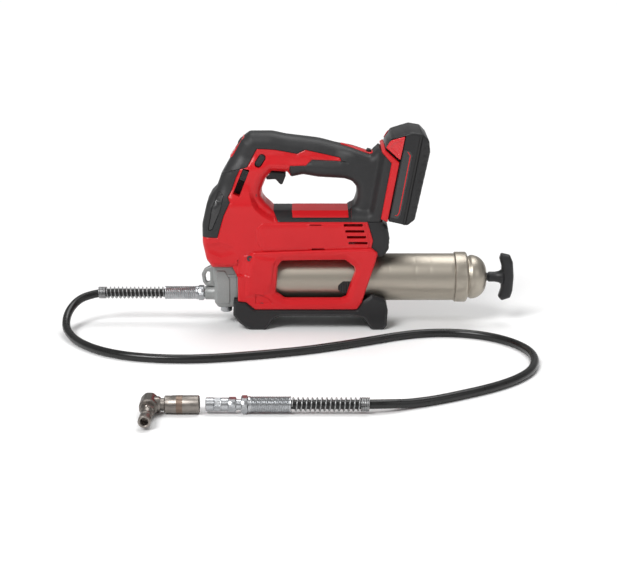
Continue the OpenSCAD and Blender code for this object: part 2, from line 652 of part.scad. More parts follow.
module head_plug() {
    color(steel) translate([plunger_x, 0, 0]) {
        translate([0, 0, 14]) cylinder(h = 9, r = 6.4, $fn = 6);
        translate([0, 0, 15]) cylinder(h = 7, r = 7.2);
        translate([0, 0, 20]) cylinder(h = 4, r = 5.5);
    }
}
module bleed_valve() {
    color(steel) translate([-153, 25.5, 48]) rotate([90, 0, 0]) {
        cylinder(h = 5.3, r = 4.2, $fn = 6);
        cylinder(h = 13, r = 3 - run_gap);
    }
}

// ---- Barrel and follower ----

module barrel() {
    color("tan") {
        tube_x(-140.8, barrel_end_x, barrel_r, barrel_r - barrel_wall, 0, barrel_z);
        tube_x(barrel_end_x - 12, barrel_end_x, barrel_r - 1, barrel_r - 3, 0, barrel_z);
    }
}
module barrel_cap() {
    cap_r = barrel_r + 2.3;
    dome_r = barrel_r - 2.3;
    color("tan") translate([cap_x, 0, barrel_z]) rotate([0, 90, 0]) rotate_extrude() polygon(concat(
        [[rod_r + run_gap, 40], [rod_r + 2.2, 40], [rod_r + 2.2, 39.3]],
        [for (a = [10:10:90]) [rod_r + 2.2 + (dome_r - rod_r - 2.2) * sin(a), 26 + 13.3 * cos(a)]],
        [[dome_r, 16.5], [barrel_r - 0.4, 15.5], [cap_r, 14], [cap_r, 1.2], [cap_r - 1.2, 0], [dome_r - 4, 0],
            [dome_r - 4, 2], [dome_r - 2, 3], [dome_r - 2, 26]],
        [for (a = [80:-10:10]) [rod_r + 2.2 + (dome_r - rod_r - 4.2) * sin(a), 26 + 11.3 * cos(a)]],
        [[rod_r + run_gap, 37.2]]));
}
module follower() {
    color("gray") difference() {
        rod_x(follower_x, follower_x + follower_t, barrel_r - barrel_wall - 0.6, 0, barrel_z);
        rod_x(follower_x + 4, follower_x + follower_t + 1, barrel_r - barrel_wall - 3, 0, barrel_z);
    }
    color("gray") tube_x(follower_x + 3, follower_x + follower_t - 2, rod_r + 4, rod_r + run_gap, 0, barrel_z);
}
module follower_seal() {
    color(black) tube_x(follower_x - 4, follower_x, barrel_r - barrel_wall - 0.35, 9, 0, barrel_z);
}
module follower_spring() {
    color(steel) tube_x(follower_x + 4.2, cap_x - 0.2, spring_r, spring_r - 2.5, 0, barrel_z);
}
module follower_rod() {
    color(steel) rod_x(follower_x + 4.3, rod_end_x, rod_r, 0, barrel_z);
}
module t_handle() {
    color(black) difference() {
        union() {
            translate([rod_end_x, 0, barrel_z]) plate(t_bar_outline, -8, 8);
            rod_x(rod_end_x - 14.5, rod_end_x + 4, rod_r + 1.4, 0, barrel_z);
        }
        rod_x(rod_end_x - 16, rod_end_x, rod_r, 0, barrel_z);
    }
}

// ---- Battery ----

module battery_case() {
    color(black) battery_frame() {
        difference() {
            plate(case_outline, -pack_half_w, pack_half_w);
            plate([[12, 1.5, 0], [30, 1.5, 0], [30, 104, 0], [18, 103.5, 0], [12, 100, 0]], -pack_half_w + 2.5, pack_half_w - 2.5);
            for (s = [-1, 1]) translate([0, s * pack_half_w, 0])
                plate([[8.4, 75.5, 0], [10.4, 75, 0], [10.6, 104.8, 0], [-7, 96, 0], [-10.8, 85.5, 0]], -5, 5);
        }
        // Terminal head that enters the receptacle
        difference() {
            translate([5.8, -26, 4]) cube([4, 52, 68]);
            for (y = [-12, -4, 4, 12]) translate([5, y - 1.2, 0]) cube([10, 2.4, 40]);
        }
    }
}
module battery_base() {
    color(black) battery_frame() difference() {
        plate(pack_base_outline, -pack_half_w, pack_half_w);
        plate([[27, 1.5, 0], [32, 1.5, 0], [37.5, 11, 0], [38.5, 88, 0], [36, 98, 0], [29, 104, 0], [27, 104, 0]],
            -pack_half_w + 2.5, pack_half_w - 2.5);
        for (i = [0:6]) translate([40, -pack_half_w - 1, 16 + 10.5 * i]) cube([3, 2 * pack_half_w + 2, 3]);
    }
}
// Latch button on one side of the pack: low and high are its inner and outer face
module battery_latch(low, high) {
    color(red) battery_frame() plate(latch_outline, low, high);
}
module battery_latch_left() { battery_latch(pack_half_w - 1.8, pack_half_w + 1); }
module battery_latch_right() { battery_latch(-pack_half_w - 1, -pack_half_w + 1.8); }
module battery_cells() {
    pitch = 2 * cell_r + 1;
    color("steelblue") battery_frame() for (i = [-2:2])
        translate([27.5, 32.5, 50.9 + pitch * i]) rotate([90, 0, 0]) cylinder(h = 65, r = cell_r);
}

// ---- Hose, couplings and adapter ----

// Point of the smooth curve through the route's points; t runs from 0 to the last index
function route_point(p, t) =
    let (n = len(p) - 1, i = min(floor(t), n - 1), f = t - i,
         a = p[max(i - 1, 0)], b = p[i], c = p[i + 1], d = p[min(i + 2, n)])
    0.5 * (2 * b + (c - a) * f + (2 * a - 5 * b + 4 * c - d) * f * f + (3 * b - a - 3 * c + d) * f * f * f);
// Ring of n points round p, square to the direction v
function ring(p, v, r, n) =
    let (w = unit(v), s = unit(cross([0, 0, 1], w)), u = cross(w, s))
    [for (k = [0:n - 1]) p + r * (s * cos(360 * k / n) + u * sin(360 * k / n))];

module hose() {
    sides = 10;
    steps = 2 * (len(hose_route) - 1);
    centres = [for (k = [0:steps]) route_point(hose_route, k / 2)];
    rings = [for (k = [0:steps])
        ring(centres[k], centres[min(k + 1, steps)] - centres[max(k - 1, 0)], hose_r, sides)];
    color("#222222") polyhedron(points = [for (r = rings) each r], faces = concat(
        [[for (k = [0:sides - 1]) k]],
        [for (j = [0:steps - 1], k = [0:sides - 1]) let (a = j * sides, m = (k + 1) % sides)
            [a + k, a + sides + k, a + sides + m, a + m]],
        [[for (k = [sides - 1:-1:0]) steps * sides + k]]));
}
module pump_fitting() {
    color(steel) {
        rod_x(pump_fit_x - 1, -178, 5, 0, outlet_z);
        hex_x(pump_fit_x - 7.5, pump_fit_x, 17, 0, outlet_z);
        tube_x(pump_sleeve_x, pump_fit_x - 7, 8.4, hose_r, 0, outlet_z);
        rod_x(-236.8, pump_fit_x - 6, hose_r, 0, outlet_z);
    }
}
module pump_spring_guard() {
    color(steel) tube_x(pump_guard_x, pump_sleeve_x, guard_r, hose_r + 1.2, 0, outlet_z);
}
module coupler_fitting() {
    color(steel) {
        tube_x(-124, coupler_sleeve_x, 8.6, hose_r, hose_tip_y, hose_tip_z);
        hex_x(-131, -124, 17, hose_tip_y, hose_tip_z);
        rod_x(-136, -77.2, hose_r, hose_tip_y, hose_tip_z);
    }
}
module coupler_spring_guard() {
    color(steel) tube_x(coupler_sleeve_x, coupler_guard_x, guard_r, hose_r + 1.2, hose_tip_y, hose_tip_z);
}
module coupler() {
    color(steel) difference() {
        union() {
            rod_x(coupler_tip_x, -144, coupler_r, hose_tip_y, hose_tip_z);
            hex_x(-144.5, -136, 14, hose_tip_y, hose_tip_z);
        }
        rod_x(coupler_tip_x - 1, coupler_tip_x + 7, nipple_r + 0.15, hose_tip_y, hose_tip_z);
        rod_x(coupler_tip_x, -135, 1.5, hose_tip_y, hose_tip_z);
        translate([-154.5, 0, 0]) tube_x(0, 0.8, 9, coupler_r - 0.5, hose_tip_y, hose_tip_z);
    }
}
adapter_back_x = -211;   // closed end of the adapter socket
elbow_x = -227;          // vertical plane of the nozzle
socket_depth = 30;
module adapter_body() {
    color("rosybrown") difference() {
        union() {
            rod_x(adapter_back_x, adapter_x, adapter_r, hose_tip_y, hose_tip_z);
            rod_x(-216, adapter_back_x + 1, 6.4, hose_tip_y, hose_tip_z);
            translate([elbow_x, hose_tip_y + 10, hose_tip_z]) rotate([90, 0, 0]) cylinder(h = 24, r = 9, $fn = 8);
            rod_x(elbow_x, -215, 8.6, hose_tip_y, hose_tip_z);
        }
        rod_x(adapter_x - socket_depth, adapter_x + 1, coupler_r + 0.1, hose_tip_y, hose_tip_z);
        translate([elbow_x, hose_tip_y - 1, hose_tip_z]) rotate([90, 0, 0]) cylinder(h = 20, r = 4.5 + run_gap);
    }
    color(steel) rod_x(adapter_x - socket_depth - 1, adapter_x - 18.5, nipple_r, hose_tip_y, hose_tip_z);
}
module adapter_nozzle() {
    color("rosybrown") difference() {
        union() {
            translate([elbow_x, hose_tip_y - 1.2, hose_tip_z]) rotate([90, 0, 0]) cylinder(h = 20, r = 4.5);
            translate([elbow_x, hose_tip_y - 14.3, hose_tip_z]) rotate([90, 0, 0]) cylinder(h = 14, r = 7.4);
            translate([elbow_x, hose_tip_y - 28, hose_tip_z]) rotate([90, 0, 0]) cylinder(h = 24, r = 6.6);
        }
        translate([elbow_x, hose_tip_y - 44, hose_tip_z]) rotate([90, 0, 0]) cylinder(h = 10, r = 4);
        translate([elbow_x, hose_tip_y, hose_tip_z]) rotate([90, 0, 0]) cylinder(h = 60, r = 1.5);
    }
}

housing_left();
housing_right();
handle_grip();
lower_grip();
front_bumper();
rail_cover();
rail_insert();
rear_grip();
motor_end_cap();
battery_receptacle();
terminal_block();
base_skid();
housing_screws();
barrel_pads();
stator();
rotor();
cooling_fan();
bearings();
ring_gear();
planet_carrier();
planet_gear_1();
planet_gear_2();
planet_gear_3();
pump_yoke();
pump_plunger();
control_board();
trigger_switch();
trigger();
trigger_pin();
trigger_spring();
lock_button();
speed_selector();
lamp_bezel();
lamp_lens();
lamp_button();
pump_head();
check_valve();
head_plug();
bleed_valve();
barrel();
barrel_cap();
follower();
follower_seal();
follower_spring();
follower_rod();
t_handle();
battery_case();
battery_base();
battery_latch_left();
battery_latch_right();
battery_cells();
hose();
pump_fitting();
pump_spring_guard();
coupler_fitting();
coupler_spring_guard();
coupler();
adapter_body();
adapter_nozzle();
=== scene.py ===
"""Looks of a cordless grease gun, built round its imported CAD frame.

Lengths in this file are in millimetres in the row frame (+X to the T-handle, -Y to the side
with the speed selector, +Z up). They turn into metres where a mesh is written.
"""

import json
import logging
import math
from dataclasses import dataclass, field
from enum import Enum
from typing import Callable, Optional, Sequence

import bmesh
import bpy
import numpy as np
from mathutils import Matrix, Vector, geometry

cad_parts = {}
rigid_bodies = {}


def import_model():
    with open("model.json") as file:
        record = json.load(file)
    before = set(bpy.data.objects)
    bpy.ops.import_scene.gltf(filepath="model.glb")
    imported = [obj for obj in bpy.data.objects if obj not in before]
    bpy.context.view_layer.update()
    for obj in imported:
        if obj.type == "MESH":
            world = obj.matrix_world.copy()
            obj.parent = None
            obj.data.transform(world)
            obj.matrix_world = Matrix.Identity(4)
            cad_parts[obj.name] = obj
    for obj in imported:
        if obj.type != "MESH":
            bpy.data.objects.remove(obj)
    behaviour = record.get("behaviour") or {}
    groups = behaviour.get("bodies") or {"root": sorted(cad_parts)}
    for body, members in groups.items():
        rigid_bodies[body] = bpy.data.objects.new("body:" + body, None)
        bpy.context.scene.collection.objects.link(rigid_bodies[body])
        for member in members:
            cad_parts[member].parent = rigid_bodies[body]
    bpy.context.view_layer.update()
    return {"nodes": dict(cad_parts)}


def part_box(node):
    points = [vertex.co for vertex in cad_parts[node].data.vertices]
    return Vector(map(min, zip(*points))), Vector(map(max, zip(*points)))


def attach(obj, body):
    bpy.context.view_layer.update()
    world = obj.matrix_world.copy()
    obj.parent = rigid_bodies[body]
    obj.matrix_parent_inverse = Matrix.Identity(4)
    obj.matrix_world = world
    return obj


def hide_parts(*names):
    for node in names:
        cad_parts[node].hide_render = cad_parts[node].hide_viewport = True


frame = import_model()
log = logging.getLogger("grease_gun")

MM = 0.001
Array = np.ndarray
Outline = Sequence[tuple]


# ---- Plane geometry ----


def smoothstep(value: Array, low: float, high: float) -> Array:
    """Smooth ramp 3t^2 - 2t^3, where t runs from 0 at low to 1 at high."""
    t = np.clip((value - low) / (high - low), 0.0, 1.0)
    return t * t * (3.0 - 2.0 * t)


def round_over(depth: Array, radius: Array) -> Array:
    """Drop of a rounded edge: radius * (1 - sqrt(1 - (1 - depth/radius)^2)), and 0 past the radius."""
    t = 1.0 - np.clip(depth / radius, 0.0, 1.0)
    return radius * (1.0 - np.sqrt(np.clip(1.0 - t * t, 0.0, 1.0)))


def rounded(outline: Outline, steps: int = 6) -> Array:
    """Outline with each corner replaced by an arc tangent to both of its sides.

    Args:
        outline: corners as (first, second, corner radius), in order round the shape.
        steps: pieces in each arc.

    Returns:
        The points of the closed outline, one per row.
    """
    corners = np.array([c[:2] for c in outline], float)
    points = []
    for i, (*_, radius) in enumerate(outline):
        here, before, after = corners[i], corners[i - 1], corners[(i + 1) % len(corners)]
        if radius == 0:
            points.append(here[None])
            continue
        u = (before - here) / np.linalg.norm(before - here)
        v = (after - here) / np.linalg.norm(after - here)
        half = math.acos(np.clip(u @ v, -1.0, 1.0)) / 2
        centre = here + (u + v) / np.linalg.norm(u + v) * radius / math.sin(half)
        start, end = here + u * radius / math.tan(half) - centre, here + v * radius / math.tan(half) - centre
        turn = math.atan2(start[0] * end[1] - start[1] * end[0], start @ end)
        angle = math.atan2(start[1], start[0]) + turn * np.linspace(0, 1, steps + 1)
        points.append(centre + radius * np.stack([np.cos(angle), np.sin(angle)], 1))
    return np.concatenate(points)


def resampled(loop: Array, step: float) -> Array:
    """Closed loop with points added along its length, so that none are further apart than the step."""
    closed = np.concatenate([loop, loop[:1]])
    along = np.concatenate([[0.0], np.cumsum(np.linalg.norm(np.diff(closed, axis=0), axis=1))])
    extra = np.arange(0.0, along[-1], step)
    nearest = np.abs(extra[:, None] - along[None]).min(1)
    places = np.sort(np.concatenate([along[:-1], extra[nearest > 0.35 * step]]))
    return np.stack([np.interp(places, along, closed[:, k]) for k in (0, 1)], 1)


def rim_distance(points: Array, loops: Sequence[Array]) -> Array:
    """Distance from each point to the nearest side of the closed loops."""
    a = np.concatenate(loops)
    b = np.concatenate([np.roll(loop, -1, axis=0) for loop in loops])
    side = b - a
    length2 = np.maximum((side * side).sum(1), 1e-12)
    best = []
    for chunk in np.array_split(points, max(1, len(points) * len(a) // 4_000_000)):
        rel = chunk[:, None] - a[None]
        t = np.clip((rel * side).sum(2) / length2, 0.0, 1.0)
        best.append(np.linalg.norm(rel - t[..., None] * side, axis=2).min(1))
    return np.concatenate(best)


def contains(points: Array, loop: Array) -> Array:
    """True for each point inside the closed loop, by counting the sides that a ray crosses."""
    x, y = points[:, 0:1], points[:, 1:2]
    x0, y0 = loop.T
    x1, y1 = np.roll(loop, -1, axis=0).T
    crosses = (y0 > y) != (y1 > y)
    rise = np.where(y1 == y0, 1e-12, y1 - y0)
    return (crosses & (x < x0 + (y - y0) * (x1 - x0) / rise)).sum(1) % 2 == 1


@dataclass
class Pattern:
    """Triangles that fill a flat region, with points on every line drawn in it."""

    points: Array
    triangles: Array

    def centres(self) -> Array:
        """Middle of each triangle."""
        return self.points[self.triangles].mean(1)

    def only(self, mask: Array) -> "Pattern":
        """The pattern with the marked triangles only."""
        used, index = np.unique(self.triangles[mask], return_inverse=True)
        return Pattern(self.points[used], index.reshape(-1, 3))

    def rim(self) -> Array:
        """Directed edges that belong to one triangle only."""
        edges = self.triangles[:, [0, 1, 1, 2, 2, 0]].reshape(-1, 2)
        size = len(self.points)
        ahead, back = edges[:, 0] * size + edges[:, 1], edges[:, 1] * size + edges[:, 0]
        return edges[~np.isin(ahead, back)]


def filled(loops: Sequence[Array], keep: Callable[[Array], Array], spacing: float = 2.0,
           rings: Sequence[float] = (0.2, 0.7, 1.5, 2.6, 4.0, 6.0), lines: Sequence[Array] = (),
           line_rings: Sequence[float] = (0.5, 1.1)) -> Pattern:
    """Triangulates a region: points on its loops, on rings beside them and on a hexagonal grid.

    Args:
        loops: closed outlines of the region and its holes.
        keep: says which points lie in the region.
        spacing: distance between the grid's points.
        rings: distances from the loops at which rings of points follow them.
        lines: further closed lines that the triangles follow.
        line_rings: distances of the rings on both sides of those lines.

    Returns:
        The pattern, with its triangles counter-clockwise.
    """
    drawn = [resampled(loop, 0.75 * spacing) for loop in loops]
    inner = [resampled(line, 0.75 * spacing) for line in lines]
    rounds = []
    for group, distances, rim in ((drawn, rings, loops), (inner, line_rings, lines)):
        for loop in group:
            tangent = np.roll(loop, -1, axis=0) - np.roll(loop, 1, axis=0)
            tangent /= np.maximum(np.linalg.norm(tangent, axis=1, keepdims=True), 1e-9)
            normal = np.stack([-tangent[:, 1], tangent[:, 0]], 1)
            for distance in distances:
                for side in (-1, 1):
                    ring = loop + side * distance * normal
                    rounds.append(ring[rim_distance(ring, rim) > 0.93 * distance])
    every = list(loops) + list(lines)
    low, high = np.concatenate(loops).min(0), np.concatenate(loops).max(0)
    gx, gy = np.meshgrid(np.arange(low[0], high[0], spacing), np.arange(low[1], high[1], spacing * 0.866))
    gx = gx + (np.arange(gx.shape[0])[:, None] % 2) * spacing / 2
    grid = np.stack([gx.ravel(), gy.ravel()], 1)
    grid = grid[keep(grid)]
    if len(rounds):
        ring_points = np.concatenate(rounds)
        ring_points = ring_points[keep(ring_points)]
        ring_points = ring_points[rim_distance(ring_points, every) > 0.15]
    else:
        ring_points = np.zeros((0, 2))
    far = rim_distance(grid, every) > (max(rings) if len(rings) else 0.0) * 0.6 + 0.35 * spacing
    lines_points = np.concatenate(drawn + inner)
    points = np.concatenate([lines_points, ring_points, grid[far]])
    edges, start = [], 0
    for loop in drawn + inner:
        index = np.arange(len(loop)) + start
        edges.append(np.stack([index, np.roll(index, -1)], 1))
        start += len(loop)
    made = geometry.delaunay_2d_cdt(points.tolist(), np.concatenate(edges).tolist(), [], 0, 1e-4, False)
    flat = np.array([tuple(v) for v in made[0]], float)
    tris = np.array([tuple(f) for f in made[2]], int)
    a, b, c = (flat[tris[:, k]] for k in range(3))
    area = (b[:, 0] - a[:, 0]) * (c[:, 1] - a[:, 1]) - (b[:, 1] - a[:, 1]) * (c[:, 0] - a[:, 0])
    tris[area < 0] = tris[area < 0][:, ::-1]
    tris = tris[np.abs(area) > 1e-5]
    pattern = Pattern(flat, tris)
    return pattern.only(keep(pattern.centres()))


# ---- Meshes ----


def put_mesh(name: str, points: Array, faces: Sequence, smooth_angle: float = 32.0,
             uv: Optional[Array] = None) -> bpy.types.Object:
    """Writes a closed mesh, joins its doubles and turns its faces outwards.

    Args:
        name: the piece's name.
        points: corners in millimetres, one per row.
        faces: corner numbers of each face.
        smooth_angle: edges sharper than this, in degrees, stay crisp.
        uv: two values for each point, kept as the attribute "along".

    Returns:
        The new object, at the origin.
    """
    mesh = bpy.data.meshes.new(name)
    mesh.from_pydata((np.asarray(points, float) * MM).tolist(), [], [tuple(f) for f in faces])
    if uv is not None:
        layer = mesh.attributes.new("along", "FLOAT_VECTOR", "POINT")
        layer.data.foreach_set("vector", np.pad(uv, ((0, 0), (0, 1))).astype(np.float32).ravel())
    bm = bmesh.new()
    bm.from_mesh(mesh)
    bmesh.ops.remove_doubles(bm, verts=bm.verts, dist=2e-7)
    loose = [v for v in bm.verts if not v.link_faces]
    bmesh.ops.delete(bm, geom=loose, context="VERTS")
    bmesh.ops.recalc_face_normals(bm, faces=bm.faces)
    bm.to_mesh(mesh)
    bm.free()
    mesh.shade_smooth()
    mesh.set_sharp_from_angle(angle=math.radians(smooth_angle))
    piece = bpy.data.objects.new(name, mesh)
    bpy.context.scene.collection.objects.link(piece)
    return piece


def grid_faces(rows: int, columns: int, wrap_rows: bool, wrap_columns: bool, offset: int = 0) -> Array:
    """Quads of a grid of points, which may close on itself in either direction."""
    i = np.arange(rows if wrap_rows else rows - 1)[:, None]
    j = np.arange(columns if wrap_columns else columns - 1)[None]
    i2, j2 = (i + 1) % rows, (j + 1) % columns
    quads = np.stack([i * columns + j, i2 * columns + j, i2 * columns + j2, i * columns + j2], 2)
    return quads.reshape(-1, 4) + offset


@dataclass
class Form:
    """Points and faces gathered from several closed shapes that make one piece."""

    points: list = field(default_factory=list)
    faces: list = field(default_factory=list)
    count: int = 0

    def add(self, points: Array, faces: Sequence) -> "Form":
        """Adds one shape; its faces count from its own first point."""
        self.points.append(np.asarray(points, float))
        self.faces.extend((np.asarray(f) + self.count).tolist() for f in faces)
        self.count += len(points)
        return self

    def slab(self, pattern: Pattern, front: Array, back: Array,
             place: Callable[[Array], Array] = lambda p: p) -> "Form":
        """Adds a solid over a pattern in X and Z, from the front height field in Y to the back one."""
        x, z = pattern.points.T
        n = len(pattern.points)
        front, back = np.broadcast_to(front, n), np.broadcast_to(back, n)
        both = np.concatenate([np.stack([x, front, z], 1), np.stack([x, back, z], 1)])
        rim = pattern.rim()
        walls = np.stack([rim[:, 0], rim[:, 0] + n, rim[:, 1] + n, rim[:, 1]], 1)
        faces = [*pattern.triangles, *(pattern.triangles[:, ::-1] + n), *walls]
        return self.add(place(both), faces)

    def turned(self, profile: Array, start: Sequence[float], direction: Sequence[float], sides: int = 64,
               bulge: Callable[[Array, Array, Array], Array] = lambda s, a, r: r,
               closed: bool = False) -> "Form":
        """Adds a profile turned round an axis: each row is (distance along the axis, radius).

        Args:
            profile: the rows; a radius of 0 at both ends closes it, unless it is a closed loop.
            start: the point that distance 0 stands for.
            direction: the axis.
            sides: points round the axis.
            bulge: radius from the distance, the angle and the profile's radius, for threads and flats.
            closed: True if the last row joins the first, as for a tube.

        Returns:
            The form itself.
        """
        profile = np.asarray(profile, float)
        w = np.asarray(direction, float) / np.linalg.norm(direction)
        u = np.cross(w, [0.0, 1.0, 0.0] if abs(w[1]) < 0.9 else [0.0, 0.0, 1.0])
        u /= np.linalg.norm(u)
        v = np.cross(w, u)
        angle = np.linspace(0, 2 * np.pi, sides, endpoint=False)[None]
        along, radius = profile[:, 0:1] + 0 * angle, profile[:, 1:2] + 0 * angle
        radius = np.where(radius > 0, bulge(along, angle, radius), 0.0)
        points = (np.asarray(start, float) + along[..., None] * w
                  + radius[..., None] * (np.cos(angle)[..., None] * u + np.sin(angle)[..., None] * v))
        faces = grid_faces(len(profile), sides, closed, True)
        return self.add(points.reshape(-1, 3), faces)

    def tube(self, path: Array, radius: Array, sides: int = 12) -> "Form":
        """Adds a round tube along a path, its circles square to it, closed by flat ends."""
        tangent = np.gradient(path, axis=0)
        tangent /= np.linalg.norm(tangent, axis=1, keepdims=True)
        across = np.cross(tangent, [0.0, 0.0, 1.0])
        small = np.linalg.norm(across, axis=1, keepdims=True) < 1e-6
        across = np.where(small, [0.0, 1.0, 0.0], across)
        across /= np.linalg.norm(across, axis=1, keepdims=True)
        up = np.cross(across, tangent)
        angle = np.linspace(0, 2 * np.pi, sides, endpoint=False)[None, :, None]
        wide = np.broadcast_to(radius, len(path))[:, None, None]
        points = path[:, None] + wide * (np.cos(angle) * across[:, None] + np.sin(angle) * up[:, None])
        n = len(path) * sides
        ends = [np.arange(sides), np.arange(n - sides, n)]
        return self.add(points.reshape(-1, 3), [*grid_faces(len(path), sides, False, True), *ends])

    def made(self, name: str, smooth_angle: float = 32.0, uv: Optional[Array] = None) -> bpy.types.Object:
        """The piece that the gathered shapes make."""
        return put_mesh(name, np.concatenate(self.points), self.faces, smooth_angle, uv)


def chamfered(length: float, radius: float, cut: float = 0.8, start: float = 0.0) -> Array:
    """Profile of a rod with a chamfer at each end."""
    end = start + length
    return np.array([[start, 0], [start, radius - cut], [start + cut * 0.6, radius],
                     [end - cut * 0.6, radius], [end, radius - cut], [end, 0]])


def sleeve(length: float, radius: float, bore: float, cut: float = 0.6, start: float = 0.0) -> Array:
    """Closed profile of a tube with chamfered rims."""
    end = start + length
    return np.array([[start, bore], [start, radius - cut], [start + cut, radius], [end - cut, radius],
                     [end, radius - cut], [end, bore]])


def hexagonal(across: float, chamfer: float) -> Callable[[Array, Array, Array], Array]:
    """Radius of a hexagon: half its width across flats over the cosine of the angle from the nearest
    flat's middle, and never more than the profile's radius, which turns its corners' chamfer."""
    def bulge(along: Array, angle: Array, radius: Array) -> Array:
        flat = across / 2 / np.cos((angle + np.pi / 6) % (np.pi / 3) - np.pi / 6)
        return np.minimum(flat, radius + chamfer)
    return bulge


def threaded(pitch: float, depth: float, low: float, high: float) -> Callable[[Array, Array, Array], Array]:
    """Radius with a thread between two distances: a triangle wave of the distance less the angle's share."""
    def bulge(along: Array, angle: Array, radius: Array) -> Array:
        phase = (along / pitch - angle / (2 * np.pi)) % 1.0
        wave = np.abs(2 * phase - 1)
        inside = smoothstep(along, low, low + pitch) * (1 - smoothstep(along, high - pitch, high))
        return radius - depth * wave * inside
    return bulge


def copied_node(node: str, name: str, bevel: float, segments: int = 2) -> bpy.types.Object:
    """A copy of a CAD node with its triangles joined, its flat faces made whole and its edges bevelled.

    Args:
        node: the CAD node that the copy stands for.
        name: the new piece's name.
        bevel: width of the bevel in millimetres.
        segments: steps across the bevel.

    Returns:
        The new piece, which replaces the node.
    """
    mesh = frame["nodes"][node].data.copy()
    mesh.name = name
    mesh.materials.clear()
    bm = bmesh.new()
    bm.from_mesh(mesh)
    bmesh.ops.remove_doubles(bm, verts=bm.verts, dist=1e-6)
    bmesh.ops.dissolve_limit(bm, angle_limit=math.radians(1.5), verts=bm.verts, edges=bm.edges)
    bm.to_mesh(mesh)
    bm.free()
    piece = bpy.data.objects.new(name, mesh)
    bpy.context.scene.collection.objects.link(piece)
    edge = piece.modifiers.new("bevel", "BEVEL")
    edge.width, edge.segments, edge.limit_method = bevel * MM, segments, "ANGLE"
    edge.angle_limit = math.radians(35)
    edge.use_clamp_overlap = True
    mesh.shade_smooth()
    settle(piece)
    piece.data.set_sharp_from_angle(angle=math.radians(40))
    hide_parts(node)
    return piece


def settle(piece: bpy.types.Object) -> None:
    """Makes the piece's modifiers part of its mesh."""
    bpy.context.view_layer.update()
    ready = bpy.data.meshes.new_from_object(piece.evaluated_get(bpy.context.evaluated_depsgraph_get()))
    piece.modifiers.clear()
    piece.data = ready


def carve(piece: bpy.types.Object, cutter: bpy.types.Object) -> None:
    """Cuts one closed piece out of another and removes it."""
    cut = piece.modifiers.new("cut", "BOOLEAN")
    cut.operation, cut.object, cut.solver = "DIFFERENCE", cutter, "MANIFOLD"
    settle(piece)
    bpy.data.objects.remove(cutter)
    piece.data.set_sharp_from_angle(angle=math.radians(32))


# ---- Finishes ----


class Grain(Enum):
    """Surface structure of a finish."""

    MOULDED = "fine even texture of a moulded part"
    PEBBLED = "soft pebbled rubber"
    CAST = "coarse skin of a casting"
    BRUSHED = "streaks along one direction"
    POLISHED = "faint marks on bright metal"


